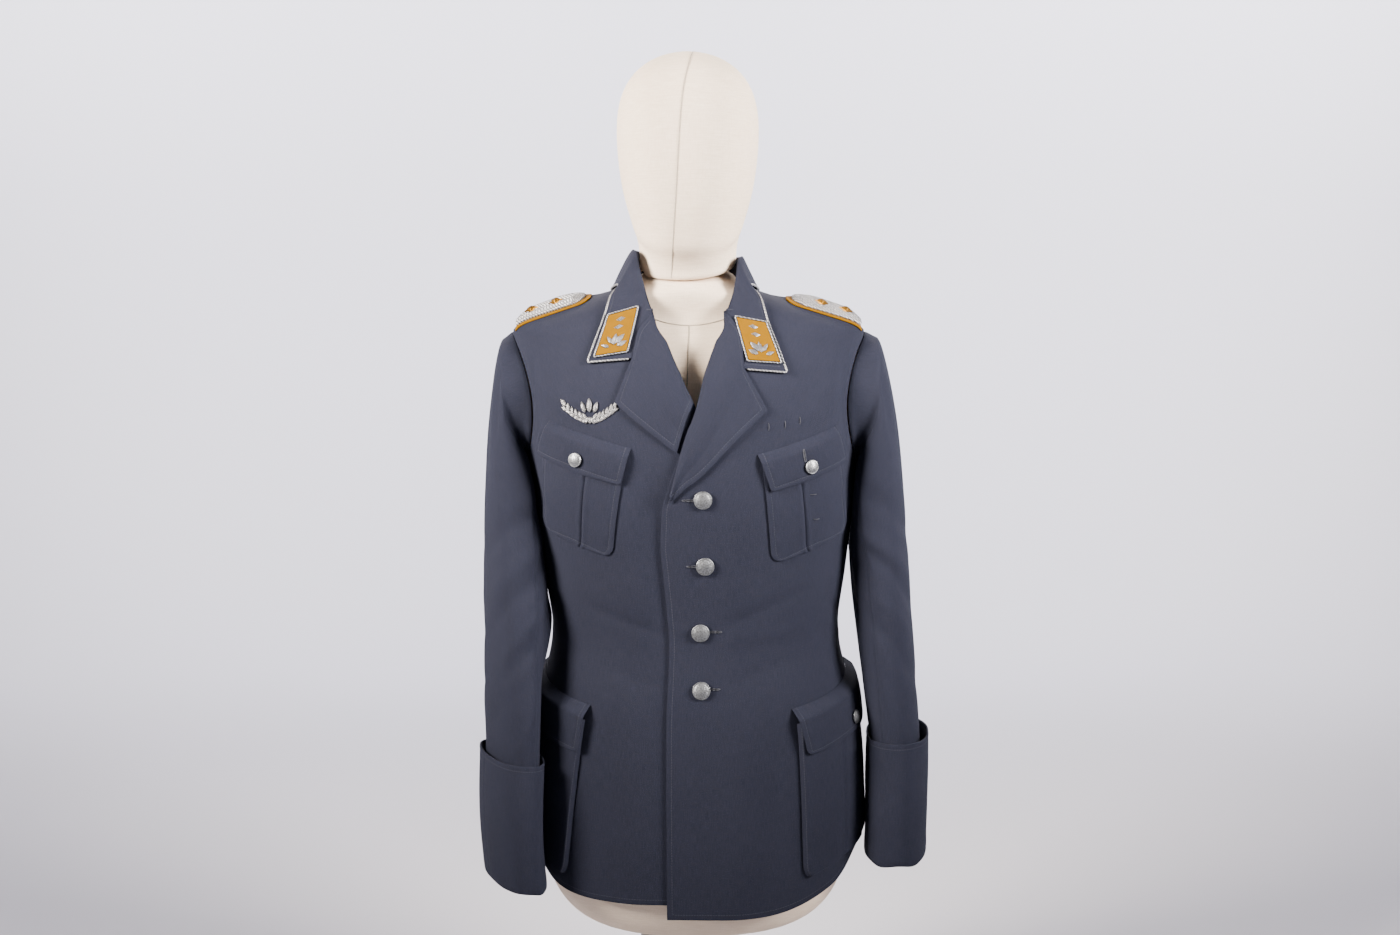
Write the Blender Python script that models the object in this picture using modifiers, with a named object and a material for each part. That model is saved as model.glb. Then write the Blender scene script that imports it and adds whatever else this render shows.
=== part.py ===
# A military dress tunic worn by a limbless dress form on a metal stand.
# Metres, +Z up. The front faces -Y, the wearer's left side is at +X. The origin is the centre of the
# underside of the stand's base. "turn" is an angle in degrees round the body: 0 at the centre front,
# 90 at the wearer's left side, 180 at the centre back.

import math

import bmesh
import bpy
from mathutils import Vector

COLLECTION = "dress_tunic"
SIDES = {"left": 1, "right": -1}

# Cloth
WALL = 0.002
SEAM = 0.0003
SLEEVE_WALL = 0.0016
SLEEVE_ROUND = 0.88
SLEEVE_SEAM = 0.0028
SLEEVE_SEAM_TOP = 0.0018
LAY = 0.0006
OVERLAP = WALL + 0.0010
SIDE_SEAM = 0.8 * SEAM
OVER_FRONT_TURNS = (20, 8)
OVER_FRONT_HEIGHTS = (0.870, 0.830)

# Stand
BASE_RADIUS = 0.155
BASE_THICK = 0.012
BASE_CHAMFER = 0.003
FLANGE_RADIUS = 0.022
FLANGE_HEIGHTS = (0.010, 0.014)
POLE_RADIUS = 0.010
POLE_X = -0.052
FORM_BOTTOM = 0.183
FORM_FLAT = 0.45
BOWL_TOP = 0.275
NECK_RADIUS = 0.056
NECK_AXIS_X = -0.005
NECK_CUT_HEIGHT = 0.960
NECK_CUT_SLOPE = 0.30
NECK_FOOT_HEIGHT = 0.9385
NECK_FOOT_SPREAD = 0.0030
FORM_SEGMENTS = 30

# Shoulders and armholes
ROUND = 2 / 2.35
SHOULDER_SOFTNESS = 0.008
TIP_HEIGHT = 0.893
TIP_WIDTH = 0.206
NECK_HEIGHT = 0.940
NECK_WIDTH = 0.072
ARM_CENTRE = 0.812
ARM_HALF = 0.077
ARM_SWING = 26.0
ARM_INSET = 0.0010
ARM_INSET_TURN = 0.6
ARM_INSET_DEPTH = 0.0008
ARM_ROWS = 8
ARM_STEP = 180 / ARM_ROWS
LOWER_ROWS = 15
TOP_HEIGHTS = (0.8980, 0.9075, 0.9170, 0.9255, 0.9330, 0.9400)
HEM_MIDDLE = 0.26
SLEEVE_SPLIT = 5 * ARM_STEP
# Rings between which each piece of a top sleeve runs; the bent right one is in two at the elbow
TOP_SLEEVE_PIECES = {
    "left": {"top_sleeve": (0, 11)},
    "right": {"top_sleeve": (0, 6), "top_sleeve_forearm": (6, 11)},
}
SLEEVE_MIDDLE = (0.222, -0.01, 0.62)
CUFF_MIDDLE = (0.235, -0.04, 0.30)

# Small pieces
CORD_RADIUS = 0.00125
TAB_CORD_RADIUS = 0.0009
TAB_THICK = 0.0010
TAB_CORD_GAP = (0.080, 0.047)
TAB_LAY = 0.0009
PATCH_WALL = 0.0014
SPRAY_WALL = 0.0012
BUTTON_RADIUS = 0.0105
BUTTON_LIFT = 0.0009
SMALL_BUTTON_RADIUS = 0.0080
PIP_RADIUS = 0.0080
PIP_HEIGHT = 0.0030
PIP_TOP_RADIUS = 0.0015
BOARD_HALF = 0.0225
BOARD_WALL = 0.0014
CORD_RIDGE = 0.0012
CORD_RIDGES = 4
BOARD_ROUND_END = 0.16
BOARD_ROUNDNESS = 0.93
BOARD_CORDS = (0.02, 0.99)
BOARD_CORDS_INSET = 0.08


def table(names, *rows):
    return [dict(zip(names.split(), row)) for row in rows]


# Half sections of the worn tunic, from hem to neck
BODY = table(
    "height half_width front back lean",
    (0.200, 0.1990, 0.140, 0.132, 0.004),
    (0.300, 0.1950, 0.137, 0.130, 0.004),
    (0.380, 0.1915, 0.133, 0.127, 0.004),
    (0.460, 0.1840, 0.127, 0.117, 0.004),
    (0.538, 0.1680, 0.118, 0.100, 0.0035),
    (0.620, 0.1775, 0.124, 0.104, 0.002),
    (0.700, 0.1885, 0.131, 0.112, 0.000),
    (0.760, 0.1930, 0.130, 0.118, -0.001),
    (0.820, 0.1970, 0.120, 0.119, -0.003),
    (0.860, 0.2010, 0.103, 0.113, -0.004),
    (0.893, 0.2050, 0.082, 0.098, -0.004),
    (0.915, 0.2060, 0.073, 0.087, -0.006),
    (0.940, 0.2060, 0.062, 0.072, -0.009),
    (0.970, 0.2060, 0.056, 0.062, -0.009),
)
# Height of the hem round the body; the over front hangs a little lower
HEM = table(
    "turn height",
    (0, 0.252),
    (28, 0.252),
    (50, 0.262),
    (70, 0.292),
    (90, 0.300),
    (180, 0.288),
)
OVER_HEM_DROP = table("turn drop", (-10, 0.016), (20, 0.015), (45, 0.002), (60, 0.0), (90, 0.0))
# Inner edge of each front: centre edge, roll line of the lapel, then the neckline
FRONT_EDGE = table(
    "height left right",
    (0.230, -6.4, -6.0),
    (0.700, -6.0, -6.0),
    (0.7585, -2.1, -3.6),
    (0.8075, 1.2, -1.2),
    (0.8437, 3.6, 1.8),
    (0.8800, 7.0, 6.5),
    (0.9050, 10.6, 11.2),
    (0.9140, 13.0, 14.0),
    (0.9255, 29.0, 29.0),
    (0.9330, 51.0, 51.0),
    (0.9400, 80.0, 80.0),
)
# How far the dress form stays inside the tunic's outer face
FORM_INSET = table(
    "height inset",
    (0.240, 0.018),
    (0.430, 0.013),
    (0.538, 0.006),
    (0.720, 0.0045),
    (0.850, 0.0042),
    (0.900, 0.0040),
    (0.935, 0.0040),
)
FORM_HEIGHTS = (
    0.275, 0.340, 0.410, 0.470, 0.530, 0.590, 0.650, 0.710, 0.765, 0.812, 0.850, 0.876, 0.893,
    0.904, 0.914, 0.922, 0.929,
)
BOWL_SCALES = (0.45, 0.72, 0.88, 0.97)
HEAD = table(
    "height half_width front back",
    (0.972, 0.0560, 0.057, 0.056),
    (0.982, 0.0565, 0.070, 0.059),
    (0.998, 0.0590, 0.083, 0.064),
    (1.037, 0.0735, 0.095, 0.080),
    (1.080, 0.0805, 0.100, 0.090),
    (1.123, 0.0830, 0.101, 0.094),
    (1.155, 0.0785, 0.095, 0.090),
    (1.182, 0.0640, 0.078, 0.075),
    (1.200, 0.0380, 0.047, 0.046),
    (1.208, 0.0001, 0.0001, 0.0001),
)
# How far the head's lowest rings drop at the front
CHIN_DROPS = (0.016, 0.010, 0.003)
# Sleeve sections below the armhole: outermost and innermost points, then depth and turning
SLEEVE = {
    "left": table(
        "outer_x outer_z inner_x inner_z middle_y half_depth yaw",
        (0.2145, 0.8815, 0.1945, 0.7335, 0.000, 0.0615, 0),
        (0.2235, 0.8570, 0.1930, 0.7210, -0.002, 0.0635, 0),
        (0.2325, 0.8150, 0.1910, 0.7000, -0.004, 0.0645, 0),
        (0.2400, 0.7650, 0.1887, 0.6750, -0.006, 0.0645, 1),
        (0.2460, 0.7000, 0.1855, 0.6400, -0.009, 0.0640, 2),
        (0.2515, 0.6300, 0.1868, 0.5950, -0.012, 0.0635, 3),
        (0.2570, 0.5550, 0.1925, 0.5400, -0.017, 0.0630, 4),
        (0.2625, 0.4800, 0.2005, 0.4750, -0.023, 0.0620, 5),
        (0.2665, 0.4100, 0.2082, 0.4100, -0.030, 0.0605, 6),
        (0.2685, 0.3450, 0.2080, 0.3450, -0.035, 0.0610, 6),
        (0.2707, 0.2860, 0.2048, 0.2860, -0.040, 0.0627, 6),
    ),
    "right": table(
        "outer_x outer_z inner_x inner_z middle_y half_depth yaw",
        (0.2195, 0.8795, 0.1960, 0.7335, 0.000, 0.0615, 0),
        (0.2275, 0.8520, 0.1940, 0.7210, -0.003, 0.0635, 1),
        (0.2340, 0.8050, 0.1915, 0.7000, -0.007, 0.0645, 2),
        (0.2385, 0.7550, 0.1875, 0.6740, -0.013, 0.0645, 4),
        (0.2405, 0.6900, 0.1820, 0.6350, -0.022, 0.0640, 8),
        (0.2395, 0.6200, 0.1785, 0.5850, -0.034, 0.0635, 13),
        (0.2365, 0.5450, 0.1795, 0.5250, -0.048, 0.0625, 18),
        (0.2335, 0.4750, 0.1835, 0.4700, -0.062, 0.0610, 22),
        (0.2305, 0.4100, 0.1825, 0.4100, -0.069, 0.0595, 23),
        (0.2310, 0.3300, 0.1850, 0.3300, -0.079, 0.0600, 23),
        (0.2260, 0.2660, 0.1810, 0.2660, -0.084, 0.0605, 23),
    ),
}
# Turn-back cuffs, from the free upper edge to the fold
CUFF = {
    "left": table(
        "outer_x outer_z inner_x inner_z middle_y half_depth yaw",
        (0.2765, 0.4240, 0.2035, 0.4240, -0.029, 0.0680, 6),
        (0.2758, 0.3780, 0.2032, 0.3780, -0.032, 0.0675, 6),
        (0.2748, 0.3300, 0.2025, 0.3300, -0.036, 0.0668, 6),
        (0.2736, 0.2830, 0.2019, 0.2830, -0.040, 0.0656, 6),
    ),
    "right": table(
        "outer_x outer_z inner_x inner_z middle_y half_depth yaw",
        (0.2380, 0.4080, 0.1770, 0.4080, -0.069, 0.0665, 23),
        (0.2390, 0.3600, 0.1786, 0.3600, -0.077, 0.0660, 23),
        (0.2370, 0.3110, 0.1780, 0.3110, -0.081, 0.0655, 23),
        (0.2315, 0.2630, 0.1755, 0.2630, -0.084, 0.0645, 23),
    ),
}
# Collar from the centre back (0) to its front end (1): the roll, the outer edge and the neckline
COLLAR = table(
    "along roll_angle roll_height roll_radius left_turn left_height right_turn right_height"
    " base_turn base_height flat",
    (0.00, 180, 0.9750, 0.0670, 180, 0.9290, 180, 0.9290, 180, 0.9405, 0.0),
    (0.22, 135, 0.9765, 0.0650, 138, 0.9280, 138, 0.9280, 135, 0.9405, 0.0),
    (0.42, 90, 0.9790, 0.0625, 92, 0.9378, 92, 0.9378, 90, 0.9405, 0.0),
    (0.56, 62, 0.9755, 0.0645, 60, 0.9362, 60, 0.9362, 58, 0.9370, 0.0),
    (0.68, 48, 0.9570, 0.0730, 37, 0.9240, 39, 0.9250, 40, 0.9310, 0.2),
    (0.80, 38, 0.9330, 0.0800, 26.5, 0.9060, 29.5, 0.9120, 27, 0.9250, 0.95),
    (0.90, 32, 0.9180, 0.0850, 25.6, 0.8770, 28.3, 0.8850, 20, 0.9200, 1.0),
    (1.00, 29, 0.9110, 0.0870, 28.1, 0.8460, 28.6, 0.8560, 12, 0.9110, 1.0),
)
GORGE_TURN = {"left": 12.0, "right": 12.6}
NOTCH = {"left": (14.4, 0.8490), "right": (14.2, 0.8590)}
NOTCH_ALONG = 0.50
NOTCH_START = 0.82
GORGE_START = 0.80
GORGE_START_TURN = 27.0
GORGE_TOP = 0.930
ROLL_RISE = 0.001
ROLL_PULL = 0.30
COLLAR_LEVEL = WALL + 0.0014
COLLAR_COLUMNS = 36
COLLAR_ROWS = 5
STAND_SHARES = (0.12, 0.88)
STAND_DROP = 0.006
STAND_DROP_ALONG = (0.56, 0.78)
CORD_DEPTH = -WALL / 4
# The cord at the collar's front end: where it starts and ends across, and round the corner
CORD_FRONT = (0.66, 0.96)
CORD_CORNER_REACH = 1.35
CORD_STEP = 0.02
# The tabs' corners as turn and height
TAB = {
    "left": {"top_in": (14.8, 0.9030), "top_out": (22.8, 0.8970), "low_out": (26.0, 0.8530),
             "low_in": (15.9, 0.8550)},
    "right": {"top_in": (17.0, 0.9110), "top_out": (26.0, 0.9030), "low_out": (26.3, 0.8625),
              "low_in": (15.6, 0.8655)},
}

# Lapels: the outer edge from its low end to its tip, and heights along the roll line
LAPEL = {
    "left": {
        "edge": table("along turn height", (0, -4.6, 0.7050), (0.3, 1.3, 0.7310),
                      (0.65, 11.4, 0.7720), (1, 22.0, 0.8046)),
        "roll": (0.7120, 0.9065),
    },
    "right": {
        "edge": table("along turn height", (0, 2.9, 0.7590), (0.35, 9.0, 0.7780),
                      (0.7, 15.4, 0.7970), (1, 20.8, 0.8134)),
        "roll": (0.8120, 0.9065),
    },
}

LAPEL_NOTCH = 0.55
LAPEL_NOTCH_TURN = 0.8
LAPEL_NOTCH_DROP = 0.002
LAPEL_NOTCH_START = 0.7
LAPEL_ROLL_TURN = 0.3
LAPEL_ROLL_RISE = 0.0015

# Patches and flaps as four corners: inner and outer edge, upper and lower
PATCH_COLUMNS = (
    "name side in_turn in_top out_turn out_top low_in_turn low_in low_out_turn low_out"
    " stand_in stand_out sag"
)
POCKETS = table(
    PATCH_COLUMNS,
    ("left_breast_pocket", "left", 20.3, 0.7450, 56.8, 0.7750, 25.1, 0.6350, 67.5, 0.6660,
     0.0, 0.0, 0.001),
    ("right_breast_pocket", "right", 17.9, 0.7520, 54.8, 0.7820, 25.7, 0.6420, 63.0, 0.6700,
     0.0, 0.0, 0.001),
    ("left_skirt_pocket", "left", 34.0, 0.4520, 96.0, 0.4850, 34.7, 0.2740, 94.0, 0.3240,
     0.006, 0.0045, 0.001),
    ("right_skirt_pocket", "right", 38.5, 0.4550, 96.0, 0.4850, 44.5, 0.2740, 94.0, 0.3240,
     0.006, 0.0025, 0.001),
)
FLAPS = table(
    PATCH_COLUMNS,
    ("left_breast_flap", "left", 18.6, 0.7570, 54.6, 0.7870, 23.3, 0.7160, 61.4, 0.7475,
     0.0036, 0.0036, 0.002),
    ("right_breast_flap", "right", 16.2, 0.7640, 52.4, 0.7940, 19.9, 0.7240, 60.7, 0.7560,
     0.0036, 0.0036, 0.002),
    ("left_skirt_flap", "left", 32.6, 0.4690, 97.5, 0.5020, 36.5, 0.4170, 98.5, 0.4530,
     0.0098, 0.0083, 0.002),
    ("right_skirt_flap", "right", 37.0, 0.4723, 97.5, 0.5020, 39.0, 0.4195, 98.5, 0.4530,
     0.0098, 0.0063, 0.002),
)
FLAP_BUTTON = {"breast": (0.50, 0.68), "skirt": (0.53, 0.74)}
PLEAT_HALF = 0.13
PLEAT_RISE = 0.0012
FLAP_ROWS = (0, 0.14, 0.30, 0.55, 0.80, 1)
FLAP_RISE = 0.27
BREAST_COLUMNS = (0, 0.18, 0.36, 0.47, 0.5, 0.53, 0.64, 0.82, 1)
BREAST_SLIT_HALF = 0.04
BREAST_SLIT_RISE = 0.0007
BREAST_ROW_POWER = 1.4
SKIRT_COLUMNS = (0, 0.012, 0.19, 0.36, 0.375, 0.625, 0.64, 0.82, 0.988, 1)
SKIRT_ROWS = (0, 0.25, 0.5, 0.75, 0.92, 0.985, 1)
# Round corners as shares of a patch's width and height
BREAST_CORNER = (0.10, 0.12)
SKIRT_CORNER = (0.06, 0.10)
FLAP_CORNER = (0.03, 0.12)

FRONT_BUTTONS = table(
    "name turn height",
    ("front_button_1", 2.3, 0.7080),
    ("front_button_2", 2.6, 0.6340),
    ("front_button_3", 1.2, 0.5580),
    ("front_button_4", 1.2, 0.4930),
)
# The button's half section as shares of its radius, and heights
BUTTON_PROFILE = ((0, 0.0046), (0.45, 0.0042), (0.8, 0.0030), (1, 0.0014), (0.93, 0.0), (0, 0.0))
BOARD_CENTRE_X = -0.004
BOARD_ENDS = table("at x y", (0, 0.102, -0.012), (1, 0.1955, -0.003))
PIP_PLACES = (0.47, 0.80)
SPRAY = {"turn": -30.5, "height": 0.8050, "half_width": 0.031, "half_height": 0.016,
         "roundness": 0.92}


def blend(start, end, share):
    return start + (end - start) * share


def ramp(start, end, value):
    """0 before start, 1 after end, smooth between; start may be above end."""
    share = min(max((value - start) / (end - start), 0.0), 1.0)
    return share * share * (3 - 2 * share)


def read(rows, column, at):
    """A column of a table at a place between its rows, along a smooth curve."""
    key = next(iter(rows[0]))
    places = [row[key] for row in rows]
    values = [row[column] for row in rows]
    at = min(max(at, places[0]), places[-1])
    index = max(i for i in range(len(places) - 1) if places[i] <= at)
    span = places[index + 1] - places[index]
    share = (at - places[index]) / span

    def slope(i):
        low, high = max(i - 1, 0), min(i + 1, len(places) - 1)
        return (values[high] - values[low]) / (places[high] - places[low]) * span

    square, cube = share**2, share**3
    return (
        (2 * cube - 3 * square + 1) * values[index]
        + (cube - 2 * square + share) * slope(index)
        + (3 * square - 2 * cube) * values[index + 1]
        + (cube - square) * slope(index + 1)
    )


def straight(rows, column, at):
    """A column of a table at a place between its rows, along straight lines."""
    key = next(iter(rows[0]))
    if at <= rows[0][key]:
        return rows[0][column]
    for low, high in zip(rows, rows[1:]):
        if at <= high[key]:
            return blend(low[column], high[column], (at - low[key]) / (high[key] - low[key]))
    return rows[-1][column]


def signed_power(value, power):
    return math.copysign(abs(value) ** power, value)


# The body surface


def body_half_width(height):
    side = read(BODY, "half_width", height)
    slope = (TIP_WIDTH - NECK_WIDTH) / (NECK_HEIGHT - TIP_HEIGHT)
    shoulder = TIP_WIDTH - (height - TIP_HEIGHT) * slope
    soft = SHOULDER_SOFTNESS
    return -soft * math.log(math.exp(-side / soft) + math.exp(-shoulder / soft))


def body_point(turn, height):
    across = math.sin(math.radians(turn))
    forward = math.cos(math.radians(turn))
    depth = read(BODY, "front" if forward > 0 else "back", height)
    return Vector((
        read(BODY, "lean", height) + signed_power(across, ROUND) * body_half_width(height),
        -signed_power(forward, ROUND) * depth,
        height,
    ))


def skin(turn, height, out=0.0):
    """A point of the body surface, moved out along its normal."""
    point = body_point(turn, height)
    if out == 0.0:
        return point
    along = body_point(turn + 0.5, height) - body_point(turn - 0.5, height)
    upward = body_point(turn, height + 0.001) - body_point(turn, height - 0.001)
    return point + along.cross(upward).normalized() * out


def seam_turn(height):
    """Half of a seam's gap, as a turn, where the surface faces straight sideways."""
    depth = read(BODY, "front", height)
    return math.degrees(math.asin((SIDE_SEAM / depth) ** (1 / ROUND)))


def centre_seam_turn(height):
    half_width = body_half_width(height)
    return math.degrees(math.asin((SEAM / 2 / half_width) ** (1 / ROUND)))


def front_lift(side, turn, height):
    """The left front lies over the right one, so it stands off near the centre."""
    if side == "right":
        return 0.0
    return OVERLAP * ramp(*OVER_FRONT_TURNS, turn) * ramp(*OVER_FRONT_HEIGHTS, height)


def arm_turn(height):
    share = (height - ARM_CENTRE) / ARM_HALF
    return ARM_SWING * math.sqrt(max(1 - share**2, 0.0))


def hem_height(side, turn, front):
    height = read(HEM, "height", abs(turn))
    if front and side == "left":
        height -= read(OVER_HEM_DROP, "drop", turn)
    return height


def panel_heights():
    """(share from hem to underarm or None, height) for each row of a body panel."""
    underarm = ARM_CENTRE - ARM_HALF
    rows = []
    for row in range(LOWER_ROWS):
        share = row / LOWER_ROWS
        rows.append((share, blend(HEM_MIDDLE, underarm, share)))
    for row in range(ARM_ROWS + 1):
        rows.append((None, ARM_CENTRE - ARM_HALF * math.cos(math.pi * row / ARM_ROWS)))
    rows += [(None, height) for height in TOP_HEIGHTS]
    return rows


# Making meshes


def material(name, colour, roughness, metallic=0.0):
    made = bpy.data.materials.get(name) or bpy.data.materials.new(name)
    made.use_nodes = True
    shader = made.node_tree.nodes["Principled BSDF"]
    shader.inputs["Base Color"].default_value = (*colour, 1.0)
    shader.inputs["Roughness"].default_value = roughness
    shader.inputs["Metallic"].default_value = metallic
    made.diffuse_color = (*colour, 1.0)
    return made


def tunic_cloth():
    return material("tunic_cloth", (0.085, 0.092, 0.125), 0.85)


def form_linen():
    return material("form_linen", (0.80, 0.75, 0.70), 0.80)


def stand_metal():
    return material("stand_metal", (0.42, 0.40, 0.39), 0.35, 1.0)


def yellow_felt():
    return material("yellow_felt", (0.82, 0.40, 0.02), 0.90)


def silver_cord():
    return material("silver_cord", (0.62, 0.62, 0.64), 0.45, 0.6)


def gold_metal():
    return material("gold_metal", (0.75, 0.55, 0.22), 0.35, 1.0)


def button_metal():
    return material("button_metal", (0.50, 0.51, 0.53), 0.50, 1.0)


def add_object(name, bm, surface):
    mesh = bpy.data.meshes.new(name)
    bm.to_mesh(mesh)
    bm.free()
    mesh.materials.append(surface)
    mesh.shade_smooth()
    mesh.set_sharp_from_angle(angle=math.radians(40))
    made = bpy.data.objects.new(name, mesh)
    bpy.data.collections[COLLECTION].objects.link(made)
    return made


def sheet(name, columns, rows, place, surface, wall=WALL, inside=(0, 0, 0.6), closed=False):
    """A cloth wall: a grid laid out by place(across, along), thickened away from its outer face."""
    bm = bmesh.new()
    bmesh.ops.create_grid(bm, x_segments=columns, y_segments=rows, size=0.5)
    for vert in bm.verts:
        vert.co = place(vert.co.x + 0.5, vert.co.y + 0.5)
    if closed:
        bmesh.ops.remove_doubles(bm, verts=bm.verts, dist=1e-6)
    bm.normal_update()
    centre = Vector(inside)
    facing = sum(face.normal.dot(face.calc_center_median() - centre) for face in bm.faces)
    if facing < 0:
        bmesh.ops.reverse_faces(bm, faces=bm.faces)
    made = add_object(name, bm, surface)
    solid = made.modifiers.new("wall", "SOLIDIFY")
    solid.thickness = wall
    solid.offset = -1
    return made


def cord(name, points, radius, surface):
    curve = bpy.data.curves.new(name, "CURVE")
    curve.dimensions = "3D"
    curve.bevel_depth = radius
    curve.bevel_resolution = 1
    curve.use_fill_caps = True
    spline = curve.splines.new("POLY")
    spline.points.add(len(points) - 1)
    for slot, point in zip(spline.points, points):
        slot.co = (*point, 1.0)
    curve.materials.append(surface)
    made = bpy.data.objects.new(name, curve)
    bpy.data.collections[COLLECTION].objects.link(made)
    return made


def turned(name, profile, surface, steps=16):
    """A closed body turned round Z from a profile that starts and ends on the axis."""
    bm = bmesh.new()
    verts = [bm.verts.new((radius, 0, height)) for radius, height in profile]
    for first, second in zip(verts, verts[1:]):
        bm.edges.new((first, second))
    made = add_object(name, bm, surface)
    screw = made.modifiers.new("turn", "SCREW")
    screw.steps = steps
    screw.render_steps = steps
    screw.use_merge_vertices = True
    screw.merge_threshold = 0.00001
    return made


def aim(made, point, normal):
    made.location = point
    made.rotation_mode = "QUATERNION"
    made.rotation_quaternion = Vector((0, 0, 1)).rotation_difference(normal)


def loft_from_sphere(name, place, rings, surface):
    """A closed body on a UV sphere's layout: place(angle, ring) with ring 0 and the last as poles."""
    bm = bmesh.new()
    bmesh.ops.create_uvsphere(bm, u_segments=FORM_SEGMENTS, v_segments=rings, radius=1.0)
    for vert in bm.verts:
        polar = math.acos(min(max(-vert.co.z, -1), 1))
        ring = round(polar / math.pi * rings)
        angle = math.degrees(math.atan2(vert.co.x, -vert.co.y))
        vert.co = place(angle, ring)
    bmesh.ops.recalc_face_normals(bm, faces=bm.faces)
    return add_object(name, bm, surface)


# Stand and dress form


def build_stand():
    base = [(0, BASE_THICK), (BASE_RADIUS - BASE_CHAMFER, BASE_THICK),
            (BASE_RADIUS, BASE_THICK - BASE_CHAMFER), (BASE_RADIUS, 0), (0, 0)]
    turned("stand_base", base, stand_metal(), steps=48)
    foot = BASE_THICK + SEAM
    top = FORM_BOTTOM - SEAM
    low, high = FLANGE_HEIGHTS
    flange = [(0, top), (POLE_RADIUS, top), (POLE_RADIUS, foot + high),
              (FLANGE_RADIUS, foot + low), (FLANGE_RADIUS, foot), (0, foot)]
    pole = turned("stand_pole", flange, stand_metal(), steps=24)
    pole.location.x = POLE_X


def neck_point(angle, height, radius):
    across = math.sin(math.radians(angle)) * radius
    forward = -math.cos(math.radians(angle)) * radius
    return Vector((NECK_AXIS_X + across, forward, height))


def neck_cut(angle, radius, gap=0.0):
    point = neck_point(angle, 0, radius)
    point.z = NECK_CUT_HEIGHT + gap + NECK_CUT_SLOPE * point.y
    return point


def torso_place(angle, ring):
    middle = Vector((read(BODY, "lean", BOWL_TOP), 0, 0))
    last_bowl = len(BOWL_SCALES)
    last_body = last_bowl + len(FORM_HEIGHTS)
    if ring == 0:
        return middle + Vector((0, 0, FORM_BOTTOM))
    if ring <= last_bowl:
        scale = BOWL_SCALES[ring - 1]
        rim = skin(angle, BOWL_TOP, -read(FORM_INSET, "inset", BOWL_TOP)) - middle
        drop = max((scale - FORM_FLAT) / (1 - FORM_FLAT), 0.0)
        height = blend(FORM_BOTTOM, BOWL_TOP, 1 - math.sqrt(1 - drop**2))
        return middle + Vector((rim.x * scale, rim.y * scale, height))
    if ring <= last_body:
        height = FORM_HEIGHTS[ring - last_bowl - 1]
        return skin(angle, height, -read(FORM_INSET, "inset", height))
    if ring == last_body + 1:
        return neck_point(angle, NECK_FOOT_HEIGHT, NECK_RADIUS + NECK_FOOT_SPREAD)
    if ring == last_body + 2:
        return neck_cut(angle, NECK_RADIUS)
    return neck_cut(0, 0)


def head_place(angle, ring):
    neck_rings = 2
    row_at = ring - neck_rings
    if ring == 0:
        return neck_cut(0, 0, SEAM)
    if ring == 1:
        return neck_cut(angle, NECK_RADIUS, SEAM)
    row = HEAD[min(row_at, len(HEAD) - 1)]
    across = math.sin(math.radians(angle))
    forward = math.cos(math.radians(angle))
    depth = row["front"] if forward > 0 else row["back"]
    height = row["height"]
    if row_at < len(CHIN_DROPS):
        height -= CHIN_DROPS[row_at] * forward
    return Vector((NECK_AXIS_X + across * row["half_width"], -forward * depth, height))


def build_form():
    torso_rings = len(BOWL_SCALES) + len(FORM_HEIGHTS) + 3
    loft_from_sphere("form_torso", torso_place, torso_rings, form_linen())
    loft_from_sphere("form_head", head_place, len(HEAD) + 1, form_linen())


# Fronts and backs


def build_front(side, columns):
    sign = SIDES[side]
    heights = panel_heights()

    def place(across, along):
        share, height = heights[round(along * (len(heights) - 1))]
        inner = straight(FRONT_EDGE, side, height)
        outer = 90 - max(arm_turn(height), seam_turn(height))
        turn = blend(inner, outer, across)
        if share is not None:
            low = hem_height(side, turn, True)
            height = blend(low, ARM_CENTRE - ARM_HALF, share)
        return skin(sign * turn, height, front_lift(side, turn, height))

    sheet(f"{side}_front", columns, len(heights) - 1, place, tunic_cloth())


def build_back(side, columns):
    sign = SIDES[side]
    heights = panel_heights()

    def place(across, along):
        share, height = heights[round(along * (len(heights) - 1))]
        inner = 90 + max(arm_turn(height), seam_turn(height))
        outer = 180 - centre_seam_turn(height)
        turn = blend(inner, outer, across)
        if share is not None:
            height = blend(hem_height(side, turn, False), ARM_CENTRE - ARM_HALF, share)
        return skin(sign * turn, height)

    sheet(f"{side}_back", columns, len(heights) - 1, place, tunic_cloth())


# Sleeves and cuffs


def armhole_point(side, angle):
    """The sleeve's first ring, just inside the armhole; angle 0 is the shoulder, 90 the front."""
    height = ARM_CENTRE + (ARM_HALF - ARM_INSET) * math.cos(math.radians(angle))
    turn = 90 - (ARM_SWING - ARM_INSET_TURN) * math.sin(math.radians(angle))
    return skin(SIDES[side] * turn, height, -ARM_INSET_DEPTH)


def section_point(side, row, angle):
    outer = Vector((SIDES[side] * row["outer_x"], row["middle_y"], row["outer_z"]))
    inner = Vector((SIDES[side] * row["inner_x"], row["middle_y"], row["inner_z"]))
    yaw = math.radians(row["yaw"]) * SIDES[side]
    forward = Vector((-math.sin(yaw), -math.cos(yaw), 0)) * row["half_depth"]
    turn = math.radians(angle)
    across = signed_power(math.cos(turn), SLEEVE_ROUND)
    ahead = signed_power(math.sin(turn), SLEEVE_ROUND)
    return (outer + inner) / 2 + (outer - inner) / 2 * across + forward * ahead


def sleeve_point(side, ring, angle):
    if ring == 0:
        return armhole_point(side, angle)
    return section_point(side, SLEEVE[side][ring - 1], angle)


def seam_angle(side, ring, angle):
    """Half of the sleeve's seam gap as an angle, at a place on a ring."""
    step = sleeve_point(side, ring, angle + 1) - sleeve_point(side, ring, angle - 1)
    gap = SLEEVE_SEAM + SLEEVE_SEAM_TOP * ramp(5, 1, ring)
    return gap / step.length


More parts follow.
